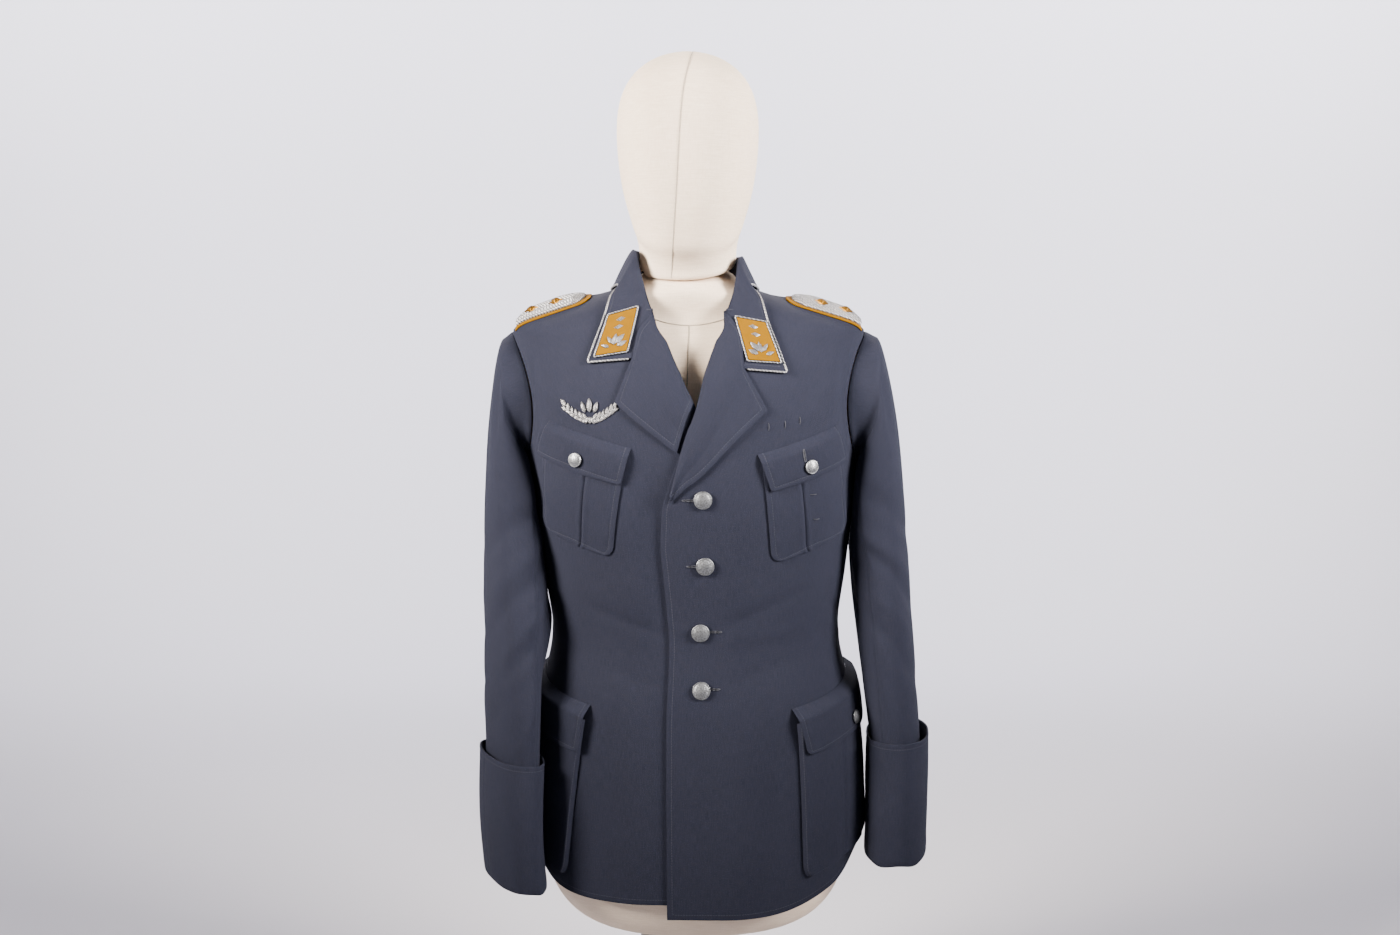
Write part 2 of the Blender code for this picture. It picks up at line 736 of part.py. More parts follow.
def build_sleeve(side):
    rings = len(SLEEVE[side])
    middle_x, middle_y, middle_z = SLEEVE_MIDDLE
    middle = Vector((SIDES[side] * middle_x, middle_y, middle_z))

    def strip(start, end, first, last):
        def place(across, along):
            ring = round(blend(last, first, along))
            low = start + seam_angle(side, ring, start)
            high = end - seam_angle(side, ring, end)
            angle = blend(low, high, across)
            point = sleeve_point(side, ring, angle)
            if ring in (first, last) and 0 < ring < rings:
                inner = sleeve_point(side, ring + (1 if ring == first else -1), angle)
                point += (inner - point).normalized() * SEAM
            return point

        return place

    split = SLEEVE_SPLIT
    cells = round(2 * split / ARM_STEP)
    for name, (first, last) in TOP_SLEEVE_PIECES[side].items():
        sheet(f"{side}_{name}", cells, last - first, strip(-split, split, first, last),
              tunic_cloth(), wall=SLEEVE_WALL, inside=middle)
    under = round((360 - 2 * split) / ARM_STEP)
    sheet(f"{side}_under_sleeve", under, rings, strip(split, 360 - split, 0, rings),
          tunic_cloth(), wall=SLEEVE_WALL, inside=middle)


def build_cuff(side):
    rows = CUFF[side]
    middle_x, middle_y, middle_z = CUFF_MIDDLE
    middle = Vector((SIDES[side] * middle_x, middle_y, middle_z))

    def place(across, along):
        row = rows[round((1 - along) * (len(rows) - 1))]
        return section_point(side, row, 360 * across)

    sheet(f"{side}_cuff", 24, len(rows) - 1, place, tunic_cloth(), inside=middle, closed=True)


# Collar and lapels


def collar_point(side, along, across, out=0.0):
    """A point of the turned-down collar: across runs from its roll (0) to its outer edge (1)."""
    if out != 0.0:
        step = 0.01
        low, high = max(along - step, 0.0), min(along + step, 1.0)
        near, far = max(across - step, 0.0), min(across + step, 1.0)
        run = collar_point(side, high, across) - collar_point(side, low, across)
        fall = collar_point(side, along, far) - collar_point(side, along, near)
        normal = run.cross(fall).normalized() * SIDES[side]
        return collar_point(side, along, across) + normal * out
    roll_height = read(COLLAR, "roll_height", along)
    edge_turn = read(COLLAR, f"{side}_turn", along)
    edge_height = read(COLLAR, f"{side}_height", along)
    flat = min(read(COLLAR, "flat", along), 1.0)
    sign = SIDES[side]
    level = COLLAR_LEVEL
    roll = neck_point(sign * read(COLLAR, "roll_angle", along), roll_height,
                      read(COLLAR, "roll_radius", along))
    edge = skin(sign * edge_turn, edge_height, level)
    over = Vector((edge.x, edge.y, roll.z + ROLL_RISE)).lerp(roll, ROLL_PULL)
    arch = roll * (1 - across) ** 2 + over * 2 * across * (1 - across) + edge * across**2
    if flat <= 0.0:
        return arch
    gorge_turn = blend(GORGE_START_TURN, GORGE_TURN[side], ramp(GORGE_START, 1.0, along))
    turn = blend(gorge_turn, edge_turn, across)
    height = blend(min(roll_height, GORGE_TOP), edge_height, across)
    ahead = ramp(NOTCH_START, 1.0, along)
    bend = 1 - abs(across - NOTCH_ALONG) / NOTCH_ALONG
    point = COLLAR[-1]
    middle_turn = blend(GORGE_TURN[side], point[f"{side}_turn"], NOTCH_ALONG)
    middle_height = blend(point["roll_height"], point[f"{side}_height"], NOTCH_ALONG)
    turn += (NOTCH[side][0] - middle_turn) * bend * ahead
    height += (NOTCH[side][1] - middle_height) * bend * ahead
    laid = skin(sign * turn, height, level + front_lift(side, turn, height))
    return arch.lerp(laid, flat)


def collar_both(share):
    """Side and distance from the centre back for a share of the whole collar's length."""
    along = share * 2 - 1
    return ("left" if along > 0 else "right"), abs(along)


def build_collar():
    def fall(across, along):
        side, distance = collar_both(across)
        return collar_point(side, distance, along)

    sheet("collar_fall", COLLAR_COLUMNS, COLLAR_ROWS, fall, tunic_cloth(), inside=(NECK_AXIS_X, 0, 0.86))

    def stand(across, along):
        side, distance = collar_both(blend(*STAND_SHARES, across))
        sign = SIDES[side]
        base = skin(sign * read(COLLAR, "base_turn", distance),
                    read(COLLAR, "base_height", distance))
        centre = Vector((NECK_AXIS_X, 0, base.z))
        base -= (base - centre).normalized() * LAY
        below = WALL + 3 * LAY + STAND_DROP * ramp(*STAND_DROP_ALONG, distance)
        top = neck_point(sign * read(COLLAR, "roll_angle", distance),
                         read(COLLAR, "roll_height", distance) - below,
                         read(COLLAR, "roll_radius", distance) + LAY)
        return base.lerp(top, along)

    sheet("collar_stand", 24, 2, stand, tunic_cloth(), inside=(NECK_AXIS_X, 0, 0.955))


def collar_cord_point(side, along, across, pull, reach=1.0):
    """The cord's centre beside the collar's edge, just under its outer face."""
    edge = collar_point(side, along, across, CORD_DEPTH)
    away = edge - collar_point(side, along - pull[0], across - pull[1], CORD_DEPTH)
    if pull[0] == 0:
        low, high = max(along - CORD_STEP, 0), min(along + CORD_STEP, 1)
        run = (collar_point(side, high, across) - collar_point(side, low, across)).normalized()
        away -= run * away.dot(run)
    return edge + away.normalized() * (CORD_RADIUS + LAY) * reach


def build_collar_cord():
    halves = {}
    for side in SIDES:
        halves[side] = [
            collar_cord_point(side, 1.0, blend(*CORD_FRONT, step / 2), (0.03, 0.0))
            for step in range(3)
        ]
        corner = collar_cord_point(side, 1.0, 1.0, (0.035, 0.06), CORD_CORNER_REACH)
        halves[side].append(corner)
        half = COLLAR_COLUMNS // 2
        for column in range(half - 1, 0, -1):
            halves[side].append(collar_cord_point(side, column / half, 1.0, (0.0, 0.05)))
    middle = collar_cord_point("left", 0.0, 1.0, (0.0, 0.05))
    points = halves["right"] + [middle] + halves["left"][::-1]
    cord("collar_piping", points, CORD_RADIUS, silver_cord())


def tab_point(side, across, down, out):
    """A point of the tab on the collar's flat front end; 0 to 1 from its inner upper corner."""
    corners = TAB[side]
    spot = []
    for index in (0, 1):
        top = blend(corners["top_in"][index], corners["top_out"][index], across)
        low = blend(corners["low_in"][index], corners["low_out"][index], across)
        spot.append(blend(top, low, down))
    turn, height = spot
    level = COLLAR_LEVEL + front_lift(side, turn, height) + TAB_LAY + out
    return skin(SIDES[side] * turn, height, level)


def build_tab(side):
    def place(across, along):
        return tab_point(side, across, 1 - along, TAB_THICK)

    sheet(f"{side}_tab", 4, 5, place, yellow_felt(), wall=TAB_THICK)
    aside, beyond = TAB_CORD_GAP
    corners = [(-aside, -beyond), (1 + aside, -beyond), (1 + aside, 1 + beyond),
               (-aside, 1 + beyond)]
    points = []
    for start, end in zip(corners, corners[1:] + corners[:1]):
        for step in range(4):
            spot = [blend(*pair, step / 4) for pair in zip(start, end)]
            points.append(tab_point(side, *spot, TAB_CORD_RADIUS))
    points.append(points[-1].lerp(points[0], 0.7))
    cord(f"{side}_tab_cord", points, TAB_CORD_RADIUS, silver_cord())


def build_lapel(side):
    rows = LAPEL[side]["edge"]
    roll_low, roll_high = LAPEL[side]["roll"]

    def place(across, along):
        roll_height = blend(roll_low, roll_high, along)
        roll_turn = straight(FRONT_EDGE, side, roll_height) + LAPEL_ROLL_TURN
        turn = blend(roll_turn, read(rows, "turn", along), across)
        height = blend(roll_height, read(rows, "height", along), across)
        bend = min(across / LAPEL_NOTCH, (1 - across) / (1 - LAPEL_NOTCH))
        top = ramp(LAPEL_NOTCH_START, 1.0, along)
        notch_turn, notch_height = NOTCH[side]
        middle_turn = blend(roll_turn, rows[-1]["turn"], LAPEL_NOTCH)
        middle_height = blend(roll_high, rows[-1]["height"], LAPEL_NOTCH)
        turn += (notch_turn - LAPEL_NOTCH_TURN - middle_turn) * bend * top
        height += (notch_height - LAPEL_NOTCH_DROP - middle_height) * bend * top
        soft = LAPEL_ROLL_RISE * math.sin(math.pi * min(2 * across, 1.0))
        level = OVERLAP + front_lift(side, turn, height) + soft
        return skin(SIDES[side] * turn, height, level)

    sheet(f"{side}_lapel", 6, 9, place, tunic_cloth())


# Pockets and flaps


def patch_place(row, across, down):
    """Turn and height of a point of a patch; across runs outward, down from its upper edge."""
    top_turn = blend(row["in_turn"], row["out_turn"], across)
    low_turn = blend(row["low_in_turn"], row["low_out_turn"], across)
    top = blend(row["in_top"], row["out_top"], across)
    low = blend(row["low_in"], row["low_out"], across) - row["sag"] * 4 * across * (1 - across)
    return blend(top_turn, low_turn, down), blend(top, low, down)


def patch_point(row, across, down, out):
    turn, height = patch_place(row, across, down)
    lift = front_lift(row["side"], turn, height)
    return skin(SIDES[row["side"]] * turn, height, lift + LAY + PATCH_WALL + out)


def rounded_across(across, down, corner_across, corner_down):
    """Narrows the lower end of a patch so that its two corners are round."""
    into = max(down - (1 - corner_down), 0.0) / corner_down
    inset = corner_across * (1 - math.sqrt(max(1 - into**2, 0.0)))
    return blend(inset, 1 - inset, across)


def build_breast_pocket(row):
    """A patch with an inverted pleat, of which only the middle slit shows."""
    columns = BREAST_COLUMNS

    def place(across, along):
        share = columns[round(across * (len(columns) - 1))]
        down = 1 - along**BREAST_ROW_POWER
        from_slit = abs(share - 0.5)
        rise = BREAST_SLIT_RISE if 0 < from_slit < BREAST_SLIT_HALF else 0.0
        wide = rounded_across(share, down, *BREAST_CORNER)
        return patch_point(row, wide, down, rise)

    sheet(row["name"], len(columns) - 1, 7, place, tunic_cloth(), wall=PATCH_WALL)


def build_skirt_pocket(row):
    columns, downs = SKIRT_COLUMNS, SKIRT_ROWS

    def place(across, along):
        share = columns[round(across * (len(columns) - 1))]
        down = downs[round((1 - along) * (len(downs) - 1))]
        edge = share in (0, 1) or down == 1
        stand = blend(row["stand_in"], row["stand_out"], share)
        pleat = PLEAT_RISE if abs(share - 0.5) < PLEAT_HALF else 0.0
        out = 0.0 if edge else stand + pleat
        wide = rounded_across(share, down, *SKIRT_CORNER)
        return patch_point(row, wide, down, out)

    sheet(row["name"], len(columns) - 1, len(downs) - 1, place, tunic_cloth(),
          wall=PATCH_WALL)


def flap_point(row, across, down, out=0.0):
    stand = blend(row["stand_in"], row["stand_out"], across) * ramp(0.0, FLAP_RISE, down)
    return patch_point(row, across, down, stand + out)


def build_flap(row):
    def place(across, along):
        down = FLAP_ROWS[round((1 - along) * (len(FLAP_ROWS) - 1))]
        wide = rounded_across(across, down, *FLAP_CORNER)
        return flap_point(row, wide, down)

    sheet(row["name"], 9, len(FLAP_ROWS) - 1, place, tunic_cloth(), wall=PATCH_WALL)


# Buttons


def button(name, radius, point, normal):
    profile = [(share * radius, height) for share, height in BUTTON_PROFILE]
    aim(turned(name, profile, button_metal(), steps=12), point, normal)


def build_front_buttons():
    for row in FRONT_BUTTONS:
        lift = front_lift("left", row["turn"], row["height"]) + BUTTON_LIFT
        point = skin(row["turn"], row["height"], lift)
        button(row["name"], BUTTON_RADIUS, point, skin(row["turn"], row["height"], 1) - point)


def build_flap_button(row):
    kind = "breast" if "breast" in row["name"] else "skirt"
    across, down = FLAP_BUTTON[kind]
    point = flap_point(row, across, down, SEAM)
    normal = flap_point(row, across, down, 1) - point
    button(f"{row['side']}_{kind}_button", SMALL_BUTTON_RADIUS, point, normal)


# Shoulder boards


def shoulder_point(x, y, out=0.0):
    """A point on top of the shoulder above a place on plan, moved out along the normal."""
    def top(at_x, at_y):
        low, high = 0.80, NECK_HEIGHT
        for _ in range(40):
            height = (low + high) / 2
            across = abs(at_x - read(BODY, "lean", height)) / body_half_width(height)
            deep = abs(at_y) / read(BODY, "front" if at_y < 0 else "back", height)
            if across ** (2 / ROUND) + deep ** (2 / ROUND) < 1:
                low = height
            else:
                high = height
        return low

    step = 0.002
    slope_x = (top(x + step, y) - top(x - step, y)) / (2 * step)
    slope_y = (top(x, y + step) - top(x, y - step)) / (2 * step)
    return Vector((x, y, top(x, y))) + Vector((-slope_x, -slope_y, 1)).normalized() * out


def board_point(side, along, across, out):
    x = straight(BOARD_ENDS, "x", along)
    y = straight(BOARD_ENDS, "y", along) + (across - 0.5) * 2 * BOARD_HALF
    return shoulder_point(BOARD_CENTRE_X + SIDES[side] * x, y, out)


def board_width(along, inset):
    """The inner end of the board is round."""
    into = max(BOARD_ROUND_END - along, 0.0) / BOARD_ROUND_END
    return (1 - inset) * math.sqrt(1 - (BOARD_ROUNDNESS * into) ** 2)


def build_board(side):
    def underlay(across, along):
        half = board_width(along, 0.0) / 2
        return board_point(side, along, 0.5 + (across - 0.5) * 2 * half, LAY + BOARD_WALL)

    sheet(f"{side}_board_underlay", 5, 8, underlay, yellow_felt(), wall=BOARD_WALL)
    under = LAY + BOARD_WALL

    def cords(across, along):
        place = blend(*BOARD_CORDS, along)
        half = board_width(place, BOARD_CORDS_INSET) / 2
        ridge = CORD_RIDGE * abs(math.sin(math.pi * CORD_RIDGES * across))
        out = under + LAY + BOARD_WALL + ridge
        return board_point(side, place, 0.5 + (across - 0.5) * 2 * half, out)

    sheet(f"{side}_board_cords", CORD_RIDGES * 2, 9, cords, silver_cord(), wall=BOARD_WALL)
    top = under + LAY + BOARD_WALL + CORD_RIDGE + LAY
    for number, along in enumerate(PIP_PLACES, 1):
        bm = bmesh.new()
        bmesh.ops.create_cone(bm, cap_ends=True, segments=4, radius1=PIP_RADIUS,
                              radius2=PIP_TOP_RADIUS, depth=PIP_HEIGHT)
        pip = add_object(f"{side}_board_pip_{number}", bm, gold_metal())
        point = board_point(side, along, 0.5, top + PIP_HEIGHT / 2)
        aim(pip, point, board_point(side, along, 0.5, 1) - point)


def build_spray():
    """The backing of the embroidered spray on the right breast."""
    def place(across, along):
        sideways, upward = across * 2 - 1, along * 2 - 1
        narrow = math.sqrt(1 - (SPRAY["roundness"] * upward) ** 2)
        centre = skin(SPRAY["turn"], SPRAY["height"])
        width = body_half_width(SPRAY["height"])
        x = centre.x + sideways * narrow * SPRAY["half_width"]
        height = SPRAY["height"] + upward * SPRAY["half_height"]
        share = abs(x - read(BODY, "lean", height)) / width
        turn = -math.degrees(math.asin(min(share, 1.0) ** (1 / ROUND)))
        return skin(turn, height, LAY + SPRAY_WALL)

    sheet("breast_spray", 7, 5, place, silver_cord(), wall=SPRAY_WALL)


def clear_scene():
    for old in list(bpy.data.objects):
        bpy.data.objects.remove(old, do_unlink=True)
    made = bpy.data.collections.new(COLLECTION)
    bpy.context.scene.collection.children.link(made)


def build():
    clear_scene()
    build_stand()
    build_form()
    for side in SIDES:
        build_front(side, 12)
        build_back(side, 9)
        build_sleeve(side)
        build_cuff(side)
        build_lapel(side)
        build_tab(side)
        build_board(side)
    build_collar()
    build_collar_cord()
    for row in POCKETS:
        if "breast" in row["name"]:
            build_breast_pocket(row)
        else:
            build_skirt_pocket(row)
    for row in FLAPS:
        build_flap(row)
        build_flap_button(row)
    build_front_buttons()
    build_spray()


build()
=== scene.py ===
# Looks of a military dress tunic worn by a limbless dress form.
# The front faces -Y and the wearer's left side is at +X. A turn is an angle in degrees round the
# body: 0 at the centre front, 90 at the wearer's left side, 180 at the centre back.
import math

import bmesh
import bpy
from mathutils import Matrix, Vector, noise
from mathutils.bvhtree import BVHTree


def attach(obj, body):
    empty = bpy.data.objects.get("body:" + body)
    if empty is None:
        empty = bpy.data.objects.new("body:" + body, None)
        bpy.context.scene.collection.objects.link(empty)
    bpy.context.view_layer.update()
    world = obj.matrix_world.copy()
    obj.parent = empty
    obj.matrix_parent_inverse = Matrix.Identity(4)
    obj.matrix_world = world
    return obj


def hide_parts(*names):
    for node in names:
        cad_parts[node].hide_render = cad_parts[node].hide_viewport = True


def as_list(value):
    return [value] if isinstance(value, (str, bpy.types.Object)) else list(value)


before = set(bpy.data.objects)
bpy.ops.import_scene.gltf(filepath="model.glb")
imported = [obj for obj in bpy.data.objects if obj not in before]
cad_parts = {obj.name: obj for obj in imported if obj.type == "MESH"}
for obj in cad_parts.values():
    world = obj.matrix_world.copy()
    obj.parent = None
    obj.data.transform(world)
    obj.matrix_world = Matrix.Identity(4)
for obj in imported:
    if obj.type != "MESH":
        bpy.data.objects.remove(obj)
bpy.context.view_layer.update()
print("frame loaded")

sides = {"left": 1, "right": -1}
wall = 0.002  # the cloth's thickness
overlap = wall + 0.0010  # how far the left front stands off, over the right one
lay = 0.0006  # between a piece and the cloth that it is sewn to


def table(names, *rows):
    return [dict(zip(names.split(), row)) for row in rows]


# Half sections of the worn tunic, from hem to neck
bodyRows = table(
    "height halfWidth front back lean",
    (0.200, 0.1990, 0.140, 0.132, 0.004),
    (0.300, 0.1950, 0.137, 0.130, 0.004),
    (0.380, 0.1915, 0.133, 0.127, 0.004),
    (0.460, 0.1840, 0.127, 0.117, 0.004),
    (0.538, 0.1680, 0.118, 0.100, 0.0035),
    (0.620, 0.1775, 0.124, 0.104, 0.002),
    (0.700, 0.1885, 0.131, 0.112, 0.000),
    (0.760, 0.1930, 0.130, 0.118, -0.001),
    (0.820, 0.1970, 0.120, 0.119, -0.003),
    (0.860, 0.2010, 0.103, 0.113, -0.004),
    (0.893, 0.2050, 0.082, 0.098, -0.004),
    (0.915, 0.2060, 0.073, 0.087, -0.006),
    (0.940, 0.2060, 0.062, 0.072, -0.009),
    (0.970, 0.2060, 0.056, 0.062, -0.009),
)
hemRows = table("turn height", (0, 0.252), (28, 0.252), (50, 0.262), (70, 0.292), (90, 0.300),
                (180, 0.288))
overHemDrop = table("turn drop", (-10, 0.016), (20, 0.015), (45, 0.002), (60, 0.0), (90, 0.0))
frontEdge = table(
    "height left right",
    (0.230, -6.6, -6.0),
    (0.400, -7.1, -6.0),
    (0.480, -7.4, -6.0),
    (0.558, -7.2, -6.0),
    (0.610, -7.9, -6.0),
    (0.655, -8.6, -6.0),
    (0.700, -7.4, -6.0),
    (0.7585, -2.1, -3.6),
    (0.8075, 1.2, -1.2),
    (0.8437, 3.2, 1.3),
    (0.8800, 6.1, 4.6),
    (0.9050, 10.4, 9.2),
    (0.9140, 13.0, 12.5),
    (0.9255, 29.0, 29.0),
    (0.9330, 51.0, 51.0),
    (0.9400, 80.0, 80.0),
)
# Soft folds of the body: two ends as turn and height, half width in metres, depth in metres
bodyFolds = (
    (-10, 0.745, -8, 0.560, 0.014, -0.0046),
    (-22, 0.700, -17, 0.560, 0.018, 0.0026),
    (58, 0.870, 62, 0.760, 0.011, -0.0022),
    (-58, 0.870, -62, 0.760, 0.011, -0.0024),
    (50, 0.880, 38, 0.820, 0.014, -0.0013),
    (-50, 0.880, -36, 0.825, 0.014, -0.0015),
    (70, 0.735, 56, 0.690, 0.009, -0.0016),
    (74, 0.715, 63, 0.660, 0.008, 0.0014),
    (-70, 0.735, -58, 0.688, 0.009, -0.0016),
    (-76, 0.700, -66, 0.650, 0.008, 0.0013),
    (9, 0.566, 40, 0.600, 0.007, -0.0011),
    (8, 0.548, 44, 0.560, 0.008, 0.0009),
    (-9, 0.555, -42, 0.585, 0.007, -0.0012),
    (10, 0.500, 33, 0.522, 0.008, -0.0009),
    (-12, 0.496, -30, 0.512, 0.008, -0.0008),
    (15, 0.470, 13, 0.270, 0.018, 0.0018),
    (25, 0.440, 24, 0.260, 0.013, -0.0017),
    (-16, 0.450, -15, 0.262, 0.017, 0.0018),
    (-27, 0.455, -26, 0.262, 0.012, -0.0018),
    (60, 0.585, 84, 0.560, 0.008, -0.0014),
    (-58, 0.580, -84, 0.556, 0.008, -0.0015),
    (64, 0.556, 88, 0.535, 0.007, 0.0011),
    (118, 0.790, 112, 0.620, 0.013, -0.0032),
    (-118, 0.790, -113, 0.610, 0.013, -0.0030),
    (132, 0.800, 124, 0.640, 0.014, 0.0022),
    (-131, 0.795, -125, 0.650, 0.014, 0.0024),
    (150, 0.918, 179, 0.914, 0.007, -0.0013),
    (-150, 0.918, -179, 0.914, 0.007, -0.0013),
    (138, 0.550, 174, 0.562, 0.008, -0.0014),
    (-140, 0.546, -172, 0.560, 0.008, -0.0013),
    (128, 0.520, 160, 0.528, 0.009, 0.0012),
    (-126, 0.524, -164, 0.526, 0.009, 0.0011),
    (160, 0.470, 158, 0.300, 0.016, 0.0022),
    (-158, 0.465, -160, 0.300, 0.016, 0.0021),
    (138, 0.460, 137, 0.300, 0.015, -0.0020),
    (-140, 0.455, -137, 0.300, 0.015, -0.0022),
    (105, 0.430, 108, 0.300, 0.013, -0.0018),
    (-106, 0.430, -108, 0.300, 0.013, -0.0016),
)


def mix(start, end, share):
    return start + (end - start) * share


def bell(value, middle, width):
    return math.exp(-((value - middle) / width) ** 2)


def ramp(start, end, value):
    share = min(max((value - start) / (end - start), 0.0), 1.0)
    return share * share * (3 - 2 * share)


def read(rows, column, at):
    key = next(iter(rows[0]))
    places = [row[key] for row in rows]
    values = [row[column] for row in rows]
    at = min(max(at, places[0]), places[-1])
    index = max(i for i in range(len(places) - 1) if places[i] <= at)
    span = places[index + 1] - places[index]
    share = (at - places[index]) / span

    def slope(i):
        low, high = max(i - 1, 0), min(i + 1, len(places) - 1)
        return (values[high] - values[low]) / (places[high] - places[low]) * span

    square, cube = share**2, share**3
    return ((2 * cube - 3 * square + 1) * values[index] + (cube - 2 * square + share) * slope(index)
            + (3 * square - 2 * cube) * values[index + 1] + (cube - square) * slope(index + 1))


def straight(rows, column, at):
    key = next(iter(rows[0]))
    if at <= rows[0][key]:
        return rows[0][column]
    for low, high in zip(rows, rows[1:]):
        if at <= high[key]:
            return mix(low[column], high[column], (at - low[key]) / (high[key] - low[key]))
    return rows[-1][column]


def signedPower(value, power):
    return math.copysign(abs(value) ** power, value)


# The body narrows from its shoulders to its neck, softly joined to its side
shoulder = {"low": 0.893, "high": 0.940, "wide": 0.206, "narrow": 0.072, "soft": 0.008}
roundness = 2 / 2.35


def bodyHalfWidth(height):
    side = read(bodyRows, "halfWidth", height)
    climb = (height - shoulder["low"]) / (shoulder["high"] - shoulder["low"])
    slope, soft = mix(shoulder["wide"], shoulder["narrow"], climb), shoulder["soft"]
    return -soft * math.log(math.exp(-side / soft) + math.exp(-slope / soft))


def bodyPoint(turn, height):
    across = math.sin(math.radians(turn))
    forward = math.cos(math.radians(turn))
    depth = read(bodyRows, "front" if forward > 0 else "back", height)
    return Vector((read(bodyRows, "lean", height) + signedPower(across, roundness) * bodyHalfWidth(height),
                   -signedPower(forward, roundness) * depth, height))


def foldDepth(folds, x, y, scale):
    total = 0.0
    for x0, y0, x1, y1, width, depth in folds:
        runX, runY = (x1 - x0) * scale, y1 - y0
        offX, offY = (x - x0) * scale, y - y0
        length = runX * runX + runY * runY
        share = (offX * runX + offY * runY) / length
        if not -0.4 < share < 1.4:
            continue
        away = (offX - share * runX) ** 2 + (offY - share * runY) ** 2
        if away > 9 * width * width:
            continue
        ends = ramp(-0.35, 0.25, share) * ramp(1.35, 0.75, share)
        total += depth * math.exp(-away / width**2) * ends
    return total


def bodyFold(turn, height):
    turn = (turn + 180) % 360 - 180
    loose = noise.noise(Vector((turn * 0.045, height * 9, 1.7))) * 0.0009
    return foldDepth(bodyFolds, turn, height, 0.0026) + loose * ramp(0.93, 0.88, height)


def shoulderRise(point):
    # The shoulders are fuller behind their ridge, so that the boards tip forward
    x = abs(point.x + 0.004)
    rise = 0.0105 * ramp(-0.036, 0.010, point.y) * ramp(0.075, 0.035, point.y)
    return rise * ramp(0.090, 0.150, x) * ramp(0.207, 0.180, x) * ramp(0.865, 0.895, point.z)


def skin(turn, height, out=0.0):
    along = bodyPoint(turn + 0.5, height) - bodyPoint(turn - 0.5, height)
    upward = bodyPoint(turn, height + 0.001) - bodyPoint(turn, height - 0.001)
    point = bodyPoint(turn, height)
    rise = Vector((0, 0, shoulderRise(point)))
    return point + rise + along.cross(upward).normalized() * (out + bodyFold(turn, height))


def frontLift(side, turn, height):
    if side == "right":
        return 0.0
    return overlap * ramp(20, 8, turn) * ramp(0.870, 0.830, height)


def turnAt(x, height):
    # The turn at which the body's surface is x metres from its middle
    share = min(abs(x - read(bodyRows, "lean", height)) / bodyHalfWidth(height), 1.0)
    return math.degrees(math.asin(share ** (1 / roundness)))


armCentre, armHalf, armSwing = 0.812, 0.077, 26.0
underarm = armCentre - armHalf


def armTurn(height):
    share = (height - armCentre) / armHalf
    return armSwing * math.sqrt(max(1 - share**2, 0.0))


def hemHeight(side, turn, front):
    height = read(hemRows, "height", abs(turn))
    if front and side == "left":
        height -= read(overHemDrop, "drop", turn)
    return height


# Materials

def hexColour(code, alpha=1.0):
    parts = [int(code[i:i + 2], 16) / 255 for i in (1, 3, 5)]
    return (*[p / 12.92 if p <= 0.04045 else ((p + 0.055) / 1.055) ** 2.4 for p in parts], alpha)


def feed(tree, node, inputs):
    # Gives a node's inputs their links, their colours as hex codes, or their plain values
    for key, value in inputs.items():
        if isinstance(value, bpy.types.NodeSocket):
            tree.links.new(value, node.inputs[key])
        else:
            node.inputs[key].default_value = hexColour(value) if isinstance(value, str) else value


def addNode(tree, kind, inputs, output=0, stops=(), **settings):
    # Inputs are a list in the node's order, or a dictionary; returns one output
    node = tree.nodes.new("ShaderNode" + kind)
    for key, value in settings.items():
        setattr(node, key, value)
    for index, (place, level) in enumerate(stops):
        node.color_ramp.elements[index].position = place
        node.color_ramp.elements[index].color = (level, level, level, 1)
    feed(tree, node, inputs if isinstance(inputs, dict) else dict(enumerate(inputs)))
    return node.outputs[output]


def newMaterial(name):
    made = bpy.data.materials.new(name)
    made.use_nodes = True
    return made, made.node_tree


def layered(tree, base, *layers):
    # Lays each colour over the base, by how far its pattern's value has passed between two stops
    for pattern, low, high, colour in layers:
        share = addNode(tree, "ValToRGB", [pattern], stops=(low, high))
        base = addNode(tree, "Mix", {0: share, 6: base, 7: colour}, 2, data_type="RGBA")
    return base


def finished(made, colour, height, strength, distance, settings, invert=False):
    # Joins the colour and a bump of this height to the shader, and gives its plain settings
    tree = made.node_tree
    bump = addNode(tree, "Bump", {"Strength": strength, "Distance": distance, "Height": height},
                   invert=invert)
    feed(tree, tree.nodes["Principled BSDF"], {**settings, "Base Color": colour, "Normal": bump})
    return made


cloth = {
    "warp": "#242633", "weft": "#1c202c", "light": "#323546", "thread": "#3d3f48",
    "browner": "#28272e", "worn": "#2e303d", "streaks": ((1100, 80, 1), (80, 1100, 1)),
    "threadSpacing": 0.0011,  # worsted threads are nearer 0.5 mm; drawn coarser so that they show
    "stitchAt": 0.0058, "stitchLength": 0.0030, "stitchWidth": 0.00035, "stitchShare": 0.72,
}


